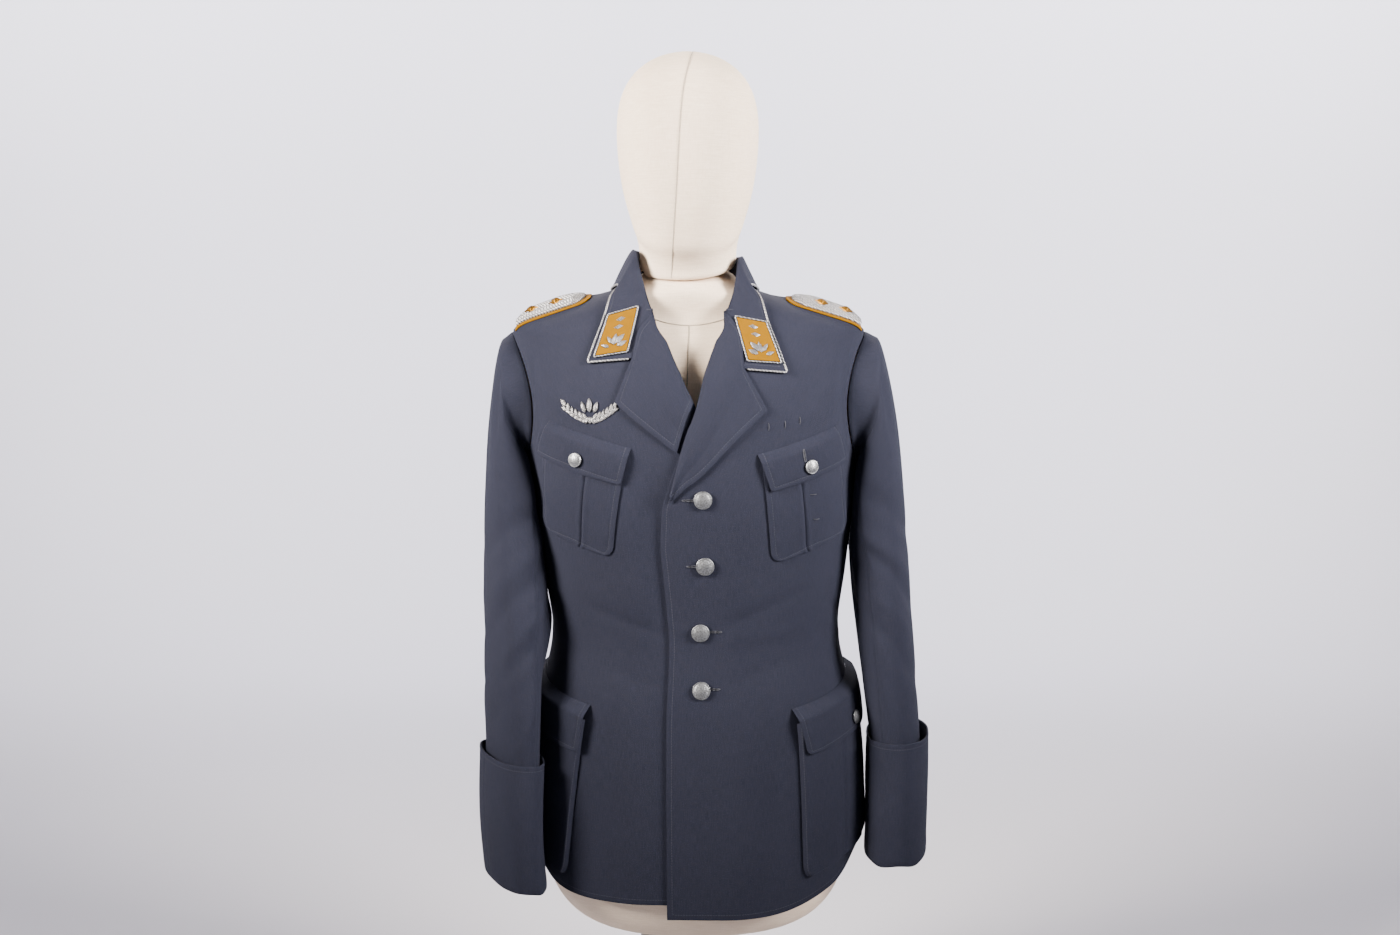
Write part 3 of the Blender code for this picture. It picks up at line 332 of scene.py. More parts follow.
def worstedCloth():
    # Worsted wool twill: smooth, matt, with fine bluish and brownish threads and a weak bloom
    made, tree = newMaterial("worsted_wool")
    uv = addNode(tree, "UVMap", {}, uv_map="cloth")
    waves = []
    for source in addNode(tree, "SeparateXYZ", [uv]).node.outputs[:2]:
        turned = addNode(tree, "Math", [source, 2 * math.pi / cloth["threadSpacing"]], operation="MULTIPLY")
        waves.append(addNode(tree, "Math", [turned], operation="SINE"))
    weave = addNode(tree, "Math", waves, operation="MULTIPLY")
    streaks = []
    for scale in cloth["streaks"]:
        place = addNode(tree, "Mapping", {"Vector": uv, "Scale": scale})
        streaks.append(addNode(tree, "TexNoise", {"Vector": place, "Scale": 1.0, "Detail": 2.0}))
    fleck = addNode(tree, "TexNoise", {"Vector": uv, "Scale": 900.0, "Detail": 2.0})
    cloud = addNode(tree, "TexNoise", {"Vector": uv, "Scale": 9.0, "Detail": 3.0})
    base = layered(tree, cloth["warp"],
                   (streaks[0], (0.30, 0.0), (0.75, 1.0), cloth["weft"]),
                   (streaks[1], (0.45, 0.0), (0.75, 0.45), cloth["browner"]),
                   (fleck, (0.55, 0.0), (0.78, 0.65), cloth["light"]),
                   (cloud, (0.35, 0.0), (0.75, 0.16), cloth["worn"]))
    edge = addNode(tree, "UVMap", {}, uv_map="edge")
    alongEdge, fromEdge = addNode(tree, "SeparateXYZ", [edge]).node.outputs[:2]
    off = addNode(tree, "Math", [fromEdge, cloth["stitchAt"]], operation="SUBTRACT")
    off = addNode(tree, "Math", [off], operation="ABSOLUTE")
    line = addNode(tree, "Math", [off, cloth["stitchWidth"]], operation="LESS_THAN")
    phase = addNode(tree, "Math", [alongEdge, cloth["stitchLength"]], operation="DIVIDE")
    phase = addNode(tree, "Math", [phase], operation="FRACT")
    phase = addNode(tree, "Math", [phase, cloth["stitchShare"]], operation="LESS_THAN")
    stitch = addNode(tree, "Math", [line, phase], operation="MULTIPLY")
    faint = addNode(tree, "Math", [stitch, 0.55], operation="MULTIPLY")
    colour = addNode(tree, "Mix", {0: faint, 6: base, 7: cloth["thread"]}, 2, data_type="RGBA")
    height = 0.0
    for part, share in ((weave, 0.5), (streaks[0], 0.9), (stitch, 1.6)):
        height = addNode(tree, "Math", [part, share, height], operation="MULTIPLY_ADD")
    return finished(made, colour, height, 0.55, 0.00025, {
        "Roughness": 0.86, "Sheen Weight": 0.02, "Sheen Roughness": 0.45, "Sheen Tint": "#a09eae",
        "Specular IOR Level": 0.07})


def feltCloth():
    # Pressed wool felt: deep golden yellow, no weave, soft short fibres
    made, tree = newMaterial("wool_felt")
    place = addNode(tree, "TexCoord", {}, "Object")
    fibre = addNode(tree, "TexNoise", {"Vector": place, "Scale": 1400.0, "Detail": 4.0, "Roughness": 0.7})
    patch = addNode(tree, "TexNoise", {"Vector": place, "Scale": 120.0, "Detail": 2.0})
    colour = layered(tree, "#6c4a00", (fibre, (0.3, 0.0), (0.7, 1.0), "#7c5600"),
                     (patch, (0.4, 0.0), (0.8, 0.3), "#5c3e00"))
    return finished(made, colour, fibre, 0.5, 0.0003, {"Roughness": 0.92, "Specular IOR Level": 0.08})


def bullionThread(name, glintColour, grooveShadeColour, pitch, roughness=0.42):
    # Silver-washed wire thread, twisted: light grey, with a painted glint on the crests of the twist and
    # painted shade in its grooves
    made, tree = newMaterial(name)
    place = addNode(tree, "TexCoord", {}, "Object")
    twist = addNode(tree, "TexWave", {"Vector": place, "Scale": 1 / pitch / 3, "Distortion": 1.2,
                                      "Detail": 1.0}, 1, bands_direction="DIAGONAL")
    grime = addNode(tree, "TexNoise", {"Vector": place, "Scale": 260.0, "Detail": 3.0})
    # Painted light: the twist pattern lays the painted glint over the base colour, which is the painted
    # shade of the grooves; the grime noise darkens it in patches
    colour = layered(tree, grooveShadeColour, (twist, (0.2, 0.0), (0.7, 1.0), glintColour),
                     (grime, (0.45, 0.0), (0.8, 0.45), "#5f5c57"))
    return finished(made, colour, twist, 0.6, 0.0003, {"Roughness": roughness, "Metallic": 0.55})


def linenCover():
    # Unbleached linen stretched over the form: warm cream, plain weave with slubs
    made, tree = newMaterial("stretched_linen")
    place = addNode(tree, "TexCoord", {}, "Object")
    threads = []
    for scale in ((60, 60, 900), (900, 900, 60)):
        stretched = addNode(tree, "Mapping", {"Vector": place, "Scale": scale})
        threads.append(addNode(tree, "TexNoise", {"Vector": stretched, "Scale": 1.0, "Detail": 2.0}))
    stain = addNode(tree, "TexNoise", {"Vector": place, "Scale": 7.0, "Detail": 3.0})
    colour = layered(tree, "#dccab5", (threads[0], (0.3, 0.0), (0.72, 1.0), "#e9d9c7"),
                     (threads[1], (0.42, 0.0), (0.75, 0.5), "#d3bfa8"),
                     (stain, (0.45, 0.0), (0.85, 0.35), "#d0bda6"))
    height = addNode(tree, "Math", threads, operation="ADD")
    return finished(made, colour, height, 0.35, 0.0004, {"Roughness": 0.88, "Specular IOR Level": 0.3})


def plainThread(name, colour):
    # Sewing thread: matt, with a fine twist
    made, tree = newMaterial(name)
    place = addNode(tree, "TexCoord", {}, "Object")
    twist = addNode(tree, "TexNoise", {"Vector": place, "Scale": 2500.0, "Detail": 2.0})
    shaded = layered(tree, colour, (twist, (0.35, 0.0), (0.7, 0.6), "#2b2e3a"))
    return finished(made, shaded, twist, 0.5, 0.0002, {"Roughness": 0.8})


def castMetal(name, colour, dark, roughness, grain, depth):
    # Cast or stamped metal with a pebbled, dulled face and darker hollows
    made, tree = newMaterial(name)
    place = addNode(tree, "TexCoord", {}, "Object")
    pebble = addNode(tree, "TexVoronoi", {"Vector": place, "Scale": 1 / grain}, feature="SMOOTH_F1")
    grime = addNode(tree, "TexNoise", {"Vector": place, "Scale": 180.0, "Detail": 4.0})
    shaded = layered(tree, colour, (pebble, (0.25, 0.0), (0.75, 0.7), dark),
                     (grime, (0.4, 0.0), (0.75, 0.55), dark))
    rough = addNode(tree, "ValToRGB", [grime], stops=((0.3, roughness - 0.08), (0.75, roughness + 0.2)))
    return finished(made, shaded, pebble, 0.6, depth, {"Roughness": rough, "Metallic": 0.85}, invert=True)


def brushedSteel():
    # Brushed steel of the stand: round brush marks, slightly warm grey
    made, tree = newMaterial("brushed_steel")
    place = addNode(tree, "TexCoord", {}, "Object")
    stretched = addNode(tree, "Mapping", {"Vector": place, "Scale": (40, 40, 1600)})
    brush = addNode(tree, "TexNoise", {"Vector": stretched, "Scale": 1.0, "Detail": 3.0})
    smear = addNode(tree, "TexNoise", {"Vector": place, "Scale": 14.0, "Detail": 3.0})
    colour = layered(tree, "#8c857f", (brush, (0.3, 0.0), (0.7, 1.0), "#a69f98"))
    rough = addNode(tree, "ValToRGB", [smear], stops=((0.3, 0.30), (0.75, 0.52)))
    return finished(made, colour, brush, 0.25, 0.0002, {"Roughness": rough, "Metallic": 1.0})


worsted = worstedCloth()
felt = feltCloth()
# Each silver thread's first colour is its painted glint, the second its painted groove shade
silverCord = bullionThread("silver_cord", "#aaabaf", "#66676c", 0.0022)
bullion = bullionThread("silver_bullion", "#9c9da1", "#515257", 0.0012, 0.36)
linen = linenCover()
linenSeam = plainThread("linen_seam_thread", "#b9ad9c")
buttonMetal = castMetal("matt_aluminium", "#94989d", "#45484c", 0.42, 0.0013, 0.00035)
giltMetal = castMetal("gilt_brass", "#8f6518", "#4c340c", 0.34, 0.0009, 0.00020)
steel = brushedSteel()
buttonholeThread = plainThread("buttonhole_silk", "#3f424c")
loopThread = plainThread("loop_thread", "#33353d")
# Near-black colour for the sheets in buttonhole slits: painted shade inside the cut
slitShade = plainThread("slit_shadow", "#15171e")
print("materials ready")


# Making pieces

def addPiece(name, bm, material, slotName, smoothAngle=50):
    mesh = bpy.data.meshes.new(name)
    bm.to_mesh(mesh)
    bm.free()
    mesh.materials.append(material)
    mesh.shade_smooth()
    mesh.set_sharp_from_angle(angle=math.radians(smoothAngle))
    made = bpy.data.objects.new(name, mesh)
    bpy.context.scene.collection.objects.link(made)
    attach(made, "root")
    return made


def lengths(points):
    total, found = 0.0, [0.0]
    for first, second in zip(points, points[1:]):
        total += (second - first).length
        found.append(total)
    return found


# Each cloth piece's four edges: points, with the direction that leads off the cloth there
edgeLines = {}
# Rolled edges, stitch grooves and seams, in metres from an edge and out of the cloth
sewing = {"rollAt": 0.0028, "rollWide": 0.0024, "rollHigh": 0.00028, "grooveWide": 0.0011,
          "grooveDeep": 0.00032, "seamWide": 0.0016, "seamDeep": 0.0011, "ridgeAt": 0.0045,
          "ridgeWide": 0.003, "ridgeHigh": 0.0003, "pucker": 0.0002}


def edgeCord(name, key, beside):
    # Centres for a cord sewn along an edge of a finished cloth piece
    return [point + away * beside for point, away in edgeLines[name][key]]


def clothPiece(name, columns, rows, place, settings):
    # A grid laid out by place(across, along), with its seams and stitched edges worked in
    wide, high = columns + 1, rows + 1
    across = settings.get("across") or [i / columns for i in range(wide)]
    along = settings.get("along") or [j / rows for j in range(high)]
    bm = bmesh.new()
    bmesh.ops.create_grid(bm, x_segments=columns, y_segments=rows, size=0.5)
    grid = {}
    for vert in bm.verts:
        grid[round((vert.co.x + 0.5) * columns), round((vert.co.y + 0.5) * rows)] = vert
    for (i, j), vert in grid.items():
        vert.co = place(across[i], along[j])
    rowRuns = [lengths([grid[i, j].co for i in range(wide)]) for j in range(high)]
    columnRuns = [lengths([grid[i, j].co for j in range(high)]) for i in range(wide)]
    area = sum(face.calc_area() for face in bm.faces)
    if "smooth" in settings:
        test, times = settings["smooth"]
        chosen = [vert for (i, j), vert in grid.items() if test(along[j])]
        for _ in range(times):
            bmesh.ops.smooth_vert(bm, verts=chosen, factor=0.5, use_axis_x=True, use_axis_y=True,
                                  use_axis_z=True)
    bm.normal_update()
    middle = Vector(settings.get("inside", (0, 0, 0.6)))
    if sum(f.normal.dot(f.calc_center_median() - middle) for f in bm.faces) < 0:
        bmesh.ops.reverse_faces(bm, faces=bm.faces)
        bm.normal_update()
    clothUv = bm.loops.layers.uv.new("cloth")
    edgeUv = bm.loops.layers.uv.new("edge")
    places, moves = {}, {}
    for (i, j), vert in grid.items():
        row, column = rowRuns[j], columnRuns[i]
        near = {"l": (column[j], row[i]), "r": (column[j], row[-1] - row[i]),
                "b": (row[i], column[j]), "t": (row[i], column[-1] - column[j])}
        stitch = min((near[k] for k in settings.get("stitched", "")), key=lambda pair: pair[1],
                     default=(0, 1))
        seam = min((near[k][1] for k in settings.get("seams", "")), default=1)
        places[vert] = (row[i], column[j]), stitch
        out = 0.0
        if stitch[1] < 0.02:
            out += (sewing["rollHigh"] * bell(stitch[1], sewing["rollAt"], sewing["rollWide"])
                    - sewing["grooveDeep"] * bell(stitch[1], cloth["stitchAt"], sewing["grooveWide"]))
        if seam < 0.012:
            ridge = sewing["ridgeHigh"] + noise.noise(vert.co * 160) * sewing["pucker"]
            out += settings.get("seamDepth", 1.0) * (
                ridge * bell(seam, sewing["ridgeAt"], sewing["ridgeWide"])
                - sewing["seamDeep"] * bell(seam, 0.0, sewing["seamWide"]))
        if "more" in settings:
            out += settings["more"](across[i], along[j])
        moves[vert] = vert.normal * out
    for vert, move in moves.items():
        vert.co += move
    inward = {"b": (0, 1), "t": (0, -1), "l": (1, 0), "r": (-1, 0)}
    spots = {"b": [(i, 0) for i in range(wide)], "t": [(i, rows) for i in range(wide)],
             "l": [(0, j) for j in range(high)], "r": [(columns, j) for j in range(high)]}
    edgeLines[name] = {key: [] for key in spots}
    for key, line in spots.items():
        for i, j in line:
            point = grid[i, j].co
            inner = grid[i + inward[key][0], j + inward[key][1]].co
            edgeLines[name][key].append((point.copy(), (point - inner).normalized()))
    for face in bm.faces:
        for loop in face.loops:
            loop[clothUv].uv, loop[edgeUv].uv = places[loop.vert]
    if settings.get("closed"):
        bmesh.ops.remove_doubles(bm, verts=bm.verts, dist=1e-6)
    piece = addPiece(name, bm, settings.get("material", worsted), settings.get("slot", "tunic_cloth"))
    solid = piece.modifiers.new("thickness", "SOLIDIFY")
    solid.thickness = settings.get("wall", wall)
    solid.offset = -1
    bevel = piece.modifiers.new("soft edge", "BEVEL")
    bevel.width = settings.get("softEdge", 0.0006)
    bevel.segments = 2
    bevel.limit_method = "ANGLE"
    bevel.angle_limit = math.radians(55)
    bevel.use_clamp_overlap = True
    settings.get("held", "hung")
    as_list(settings["on"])
    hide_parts(*settings["replaces"])


def spaced(cells, edge, edgeShare, ends="lr"):
    # Shares from 0 to 1, closer together near the named ends, where stitching needs it
    edgeCells = int(cells * edgeShare)
    low, high = (edge if "l" in ends else 0.0), (1 - edge if "r" in ends else 1.0)
    inner = cells - edgeCells * len(ends)
    shares = [mix(low, high, i / inner) for i in range(inner + 1)]
    close = [edge * i / edgeCells for i in range(edgeCells)]
    if "l" in ends:
        shares = close + shares
    if "r" in ends:
        shares += [1 - share for share in reversed(close)]
    return [round(share, 7) for share in shares]


def tube(name, points, radius, material, slotName, pitch=None, closed=False, lobes=2):
    # A round cord along points, or a twisted one of so many lobes, as a curve turned into a mesh
    curve = bpy.data.curves.new(name, "CURVE")
    curve.dimensions = "3D"
    if pitch:
        profile = bpy.data.curves.new(name + "_profile", "CURVE")
        profile.dimensions = "2D"
        ring = profile.splines.new("POLY")
        count = 6 * lobes
        ring.points.add(count - 1)
        for index, slot in enumerate(ring.points):
            angle = 2 * math.pi * index / count
            reach = radius * (0.80 + 0.24 * abs(math.cos(angle * lobes / 2)))
            slot.co = (reach * math.cos(angle), reach * math.sin(angle), 0, 1)
        ring.use_cyclic_u = True
        curve.bevel_mode = "OBJECT"
        curve.bevel_object = bpy.data.objects.new(name + "_profile", profile)
    else:
        curve.bevel_depth = radius
        curve.bevel_resolution = 2
    curve.use_fill_caps = not closed
    spline = curve.splines.new("POLY")
    spline.points.add(len(points) - 1)
    for slot, point, run in zip(spline.points, points, lengths(points)):
        slot.co = (*point, 1.0)
        slot.tilt = 2 * math.pi * run / pitch if pitch else 0.0
    spline.use_cyclic_u = closed
    curve.twist_mode = "MINIMUM"
    holder = bpy.data.objects.new(name + "_path", curve)
    bpy.context.scene.collection.objects.link(holder)
    bpy.context.view_layer.update()
    mesh = bpy.data.meshes.new_from_object(holder.evaluated_get(bpy.context.evaluated_depsgraph_get()))
    bpy.data.objects.remove(holder)
    bm = bmesh.new()
    bm.from_mesh(mesh)
    bpy.data.meshes.remove(mesh)
    bmesh.ops.remove_doubles(bm, verts=bm.verts, dist=1e-6)
    bmesh.ops.recalc_face_normals(bm, faces=bm.faces)
    return addPiece(name, bm, material, slotName, 70)


def resample(points, step):
    # Evenly spaced points on a smooth line through the given ones
    fine = []
    count = len(points)
    for i in range(count - 1):
        before, start = points[max(i - 1, 0)], points[i]
        end, after = points[i + 1], points[min(i + 2, count - 1)]
        for k in range(12):
            t = k / 12
            fine.append(0.5 * (2 * start + (end - before) * t
                               + (2 * before - 5 * start + 4 * end - after) * t * t
                               + (3 * start - before - 3 * end + after) * t * t * t))
    fine.append(points[-1])
    run = lengths(fine)
    total = run[-1]
    cells = max(round(total / step), 2)
    found, k = [], 0
    for i in range(cells + 1):
        want = total * i / cells
        while k < len(run) - 2 and run[k + 1] < want:
            k += 1
        share = (want - run[k]) / max(run[k + 1] - run[k], 1e-9)
        found.append(fine[k].lerp(fine[k + 1], min(max(share, 0), 1)))
    return found


# Fronts and backs

body = {"frontCells": (84, 150), "backCells": (64, 140), "middle": 0.26, "top": 0.9400}


def panelPiece(side, front):
    def place(across, along):
        height = mix(body["middle"], body["top"], along)
        inner = straight(frontEdge, side, height) if front else 90 + armTurn(height)
        turn = mix(inner, 90 - armTurn(height) if front else 180, across)
        if height < underarm:
            share = (height - body["middle"]) / (underarm - body["middle"])
            height = mix(hemHeight(side, turn, front), underarm, share)
        return skin(sides[side] * turn, height, frontLift(side, turn, height))

    name = "front" if front else "back"
    cells = body[name + "Cells"]
    clothPiece(f"{side}_{name}_panel", *cells, place, {
        "across": spaced(cells[0], 0.05, 0.16, "l") if front else spaced(cells[0], 0.05, 0.12),
        "stitched": "lb" if front else "b", "seams": "r" if front else "lr",
        "on": (["right_front_panel"] if front and side == "left" else []) + ["form_linen"],
        "replaces": [f"{side}_{name}"]})


for side in sides:
    for front in (True, False):
        panelPiece(side, front)
print("fronts and backs made")

# Sleeves: rings from the armhole to the wrist, then the cuffs over them

sleeve = {
    "left": table(
        "outerX outerZ innerX innerZ middleY halfDepth yaw",
        (0.2145, 0.8815, 0.1945, 0.7335, 0.000, 0.0615, 0),
        (0.2235, 0.8570, 0.1930, 0.7210, -0.002, 0.0635, 0),
        (0.2325, 0.8150, 0.1910, 0.7000, -0.004, 0.0645, 0),
        (0.2400, 0.7650, 0.1887, 0.6750, -0.006, 0.0645, 1),
        (0.2460, 0.7000, 0.1855, 0.6400, -0.009, 0.0640, 2),
        (0.2515, 0.6300, 0.1868, 0.5950, -0.012, 0.0635, 3),
        (0.2570, 0.5550, 0.1925, 0.5400, -0.017, 0.0630, 4),
        (0.2625, 0.4800, 0.2005, 0.4750, -0.023, 0.0620, 5),
        (0.2665, 0.4100, 0.2082, 0.4100, -0.030, 0.0605, 6),
        (0.2685, 0.3450, 0.2080, 0.3450, -0.035, 0.0610, 6),
        (0.2707, 0.2860, 0.2048, 0.2860, -0.040, 0.0627, 6),
    ),
    "right": table(
        "outerX outerZ innerX innerZ middleY halfDepth yaw",
        (0.2195, 0.8795, 0.1960, 0.7335, 0.000, 0.0615, 0),
        (0.2275, 0.8520, 0.1940, 0.7210, -0.003, 0.0635, 1),
        (0.2340, 0.8050, 0.1915, 0.7000, -0.007, 0.0645, 2),
        (0.2385, 0.7550, 0.1875, 0.6740, -0.013, 0.0645, 4),
        (0.2405, 0.6900, 0.1820, 0.6350, -0.022, 0.0640, 8),
        (0.2395, 0.6200, 0.1785, 0.5850, -0.034, 0.0635, 13),
        (0.2365, 0.5450, 0.1795, 0.5250, -0.048, 0.0625, 18),
        (0.2335, 0.4750, 0.1835, 0.4700, -0.062, 0.0610, 22),
        (0.2305, 0.4100, 0.1825, 0.4100, -0.069, 0.0595, 23),
        (0.2310, 0.3300, 0.1850, 0.3300, -0.079, 0.0600, 23),
        (0.2260, 0.2660, 0.1810, 0.2660, -0.084, 0.0605, 23),
    ),
}
# Turn-back cuffs, from the free upper edge to the fold
cuff = {
    "left": table(
        "outerX outerZ innerX innerZ middleY halfDepth yaw",
        (0.2765, 0.4240, 0.2035, 0.4240, -0.029, 0.0680, 6),
        (0.2758, 0.3780, 0.2032, 0.3780, -0.032, 0.0675, 6),
        (0.2748, 0.3300, 0.2025, 0.3300, -0.036, 0.0668, 6),
        (0.2736, 0.2830, 0.2019, 0.2830, -0.040, 0.0656, 6),
    ),
    "right": table(
        "outerX outerZ innerX innerZ middleY halfDepth yaw",
        (0.2380, 0.4080, 0.1770, 0.4080, -0.069, 0.0665, 23),
        (0.2390, 0.3600, 0.1786, 0.3600, -0.077, 0.0660, 23),
        (0.2370, 0.3110, 0.1780, 0.3110, -0.081, 0.0655, 23),
        (0.2315, 0.2630, 0.1755, 0.2630, -0.084, 0.0645, 23),
    ),
}
# The angle at which the two pieces of a sleeve meet, and the sleeve's and the cuff's other settings
splitAngle = 112.5
sleeveShape = {"topColumns": 120, "underColumns": 76, "rows": 130, "crowd": 1.12, "seamTurn": 34,
               "folds": 0.0011, "loose": 0.0010, "gap": 0.0045, "wall": 0.0016}
cuffShape = {"cells": (112, 64), "fold": 0.0042, "hidden": 0.018, "bulge": 0.0007, "uneven": 0.0012,
             "sway": 0.003, "wave": 0.0014, "wall": 0.0018}
# Soft folds of the sleeves: two ends as angle and height, half width and depth in metres
sleeveFolds = {
    "left": (
        (95, 0.800, 150, 0.735, 0.011, -0.0012), (70, 0.815, 110, 0.700, 0.013, 0.0016),
        (60, 0.860, 60, 0.780, 0.013, -0.0022), (20, 0.860, 30, 0.740, 0.016, -0.0016),
        (90, 0.700, 10, 0.655, 0.012, -0.0024), (110, 0.660, 30, 0.610, 0.011, 0.0022),
        (100, 0.640, 20, 0.575, 0.010, -0.0024), (95, 0.585, 40, 0.548, 0.009, 0.0019),
        (120, 0.570, 50, 0.515, 0.011, -0.0022), (75, 0.520, 0, 0.480, 0.012, -0.0018),
        (100, 0.480, 70, 0.430, 0.010, 0.0016), (-95, 0.800, -145, 0.730, 0.011, -0.0028),
        (-60, 0.860, -62, 0.760, 0.014, -0.0020), (-100, 0.690, -20, 0.640, 0.012, -0.0022),
        (-95, 0.620, -30, 0.580, 0.011, 0.0020), (-110, 0.590, -35, 0.535, 0.011, -0.0023),
        (-85, 0.520, -20, 0.470, 0.012, -0.0017), (180, 0.640, 150, 0.560, 0.012, -0.0018),
    ),
    "right": (
        (95, 0.800, 150, 0.735, 0.011, -0.0012), (72, 0.812, 108, 0.700, 0.013, 0.0016),
        (58, 0.858, 62, 0.770, 0.013, -0.0024), (18, 0.855, 28, 0.730, 0.016, -0.0016),
        (120, 0.690, 20, 0.640, 0.012, -0.0026), (130, 0.655, 40, 0.598, 0.011, 0.0022),
        (125, 0.620, 30, 0.560, 0.011, -0.0028), (120, 0.575, 55, 0.530, 0.009, 0.0022),
        (115, 0.545, 45, 0.500, 0.010, -0.0024), (90, 0.495, 10, 0.455, 0.012, -0.0016),
        (105, 0.470, 75, 0.425, 0.010, 0.0015), (-95, 0.800, -145, 0.730, 0.011, -0.0028),
        (-60, 0.860, -60, 0.760, 0.014, -0.0022), (-105, 0.700, -25, 0.650, 0.012, -0.0022),
        (-95, 0.630, -35, 0.585, 0.011, 0.0019), (-110, 0.595, -30, 0.545, 0.011, -0.0024),
        (-85, 0.520, -20, 0.475, 0.012, -0.0017), (180, 0.640, 150, 0.560, 0.012, -0.0018),
    ),
}


def sectionPoint(side, row, angle):
    outer = Vector((sides[side] * row["outerX"], row["middleY"], row["outerZ"]))
    inner = Vector((sides[side] * row["innerX"], row["middleY"], row["innerZ"]))
    yaw = math.radians(row["yaw"]) * sides[side]
    forward = Vector((-math.sin(yaw), -math.cos(yaw), 0)) * row["halfDepth"]
    turn = math.radians(angle)
    across, ahead = signedPower(math.cos(turn), 0.88), signedPower(math.sin(turn), 0.88)
    return (outer + inner) / 2 + (outer - inner) / 2 * across + forward * ahead


def sleevePoint(side, ring, angle):
    # A smooth line through the sleeve's rings, along the same angle
    rings = len(sleeve[side])
    ring = min(max(ring, 0.0), rings)
    first = min(int(ring), rings - 1)

    def spot(index):
        if index <= 0:
            height = armCentre + armHalf * math.cos(math.radians(angle))
            turn = 90 - armSwing * math.sin(math.radians(angle))
            return bodyPoint(sides[side] * turn, height)
        return sectionPoint(side, sleeve[side][min(index, rings) - 1], angle)

    before, start, end, after = (spot(max(first + k, 0)) for k in (-1, 0, 1, 2))
    t = ring - first
    if first == 0:
        return start.lerp(end, t)
    slopeStart, slopeEnd = (end - before) / 2, (after - start) / 2
    if first == 1:
        slopeStart = (end - start) * 0.5 + (start - before) * 0.5
    square, cube = t * t, t**3
    return ((2 * cube - 3 * square + 1) * start + (cube - 2 * square + t) * slopeStart
            + (3 * square - 2 * cube) * end + (cube - square) * slopeEnd)


# How far the inner side of each sleeve leans in against the body: its front part and its back part
leanIn = {
    "left": table("height reach behind", (0.42, 0.0, 0.0), (0.600, 0.001, 0.001), (0.625, 0.002, 0.002),
                  (0.645, 0.006, 0.006), (0.700, 0.013, 0.013), (0.735, 0.012, 0.012), (0.765, 0.006, 0.006),
                  (0.790, 0.0, 0.0)),
    "right": table("height reach behind", (0.42, 0.0, 0.0), (0.470, 0.003, 0.0), (0.495, 0.003, 0.003),
                   (0.525, 0.003, 0.010), (0.553, 0.005, 0.0145), (0.585, 0.008, 0.0145),
                   (0.635, 0.012, 0.013), (0.674, 0.017, 0.017), (0.700, 0.020, 0.020),
                   (0.735, 0.018, 0.018), (0.765, 0.008, 0.008), (0.790, 0.0, 0.0)),
}


def leanOn(side, point, angle, ring):
    # Moves a point of the sleeve in towards the body, then keeps it outside the body's cloth
    angle %= 360
    inner = ramp(62, 112, angle) * ramp(262, 210, angle) * ramp(0.0, 1.0, ring)
    reach = mix(read(leanIn[side], "reach", point.z), read(leanIn[side], "behind", point.z),
                ramp(140, 175, angle))
    point.x -= sides[side] * reach * inner
    gap = sleeveShape["gap"] * ramp(0.0, 0.8, ring)
    middle = read(bodyRows, "lean", point.z)
    across = abs(point.x - middle) / (bodyHalfWidth(point.z) + gap)
    deep = abs(point.y) / (read(bodyRows, "front" if point.y < 0 else "back", point.z) + gap)
    within = across ** (2 / roundness) + deep ** (2 / roundness)
    if within < 1 and ring > 0.02:
        push = within ** (-roundness / 2)
        point.x, point.y = middle + (point.x - middle) * push, point.y * push
    return point


def sleevePiece(side, start, end, name, columns, nodeNames):
    def spot(across, along):
        # The seams start low in the armhole
        ring = (1 - along) ** sleeveShape["crowd"] * len(sleeve[side])
        angle, shift = mix(start, end, across), sleeveShape["seamTurn"] * ramp(3.6, 0.5, ring)
        if abs(angle) <= splitAngle:
            return ring, angle * (splitAngle + shift) / splitAngle
        return ring, 180 + (angle - 180) * (180 - splitAngle - shift) / (180 - splitAngle)

    def place(across, along):
        ring, angle = spot(across, along)
        return leanOn(side, sleevePoint(side, ring, angle), angle, ring)

    def more(across, along):
        ring, angle = spot(across, along)
        height = sleevePoint(side, ring, angle).z
        folds = foldDepth(sleeveFolds[side], (angle + 180) % 360 - 180, height, sleeveShape["folds"])
        loose = noise.noise(Vector((angle * 0.02, height * 10, sides[side] * 3.0))) * sleeveShape["loose"]
        return (folds + loose) * ramp(0.0, 0.6, ring)

    clothPiece(name, columns, sleeveShape["rows"], place, {
        "across": spaced(columns, 0.05, 0.12), "seams": "lrt", "seamDepth": 0.45, "more": more,
        "inside": (sides[side] * 0.222, -0.01, 0.62), "wall": sleeveShape["wall"], "softEdge": 0.0004,
        "on": [f"{side}_front_panel", f"{side}_back_panel"], "replaces": nodeNames})


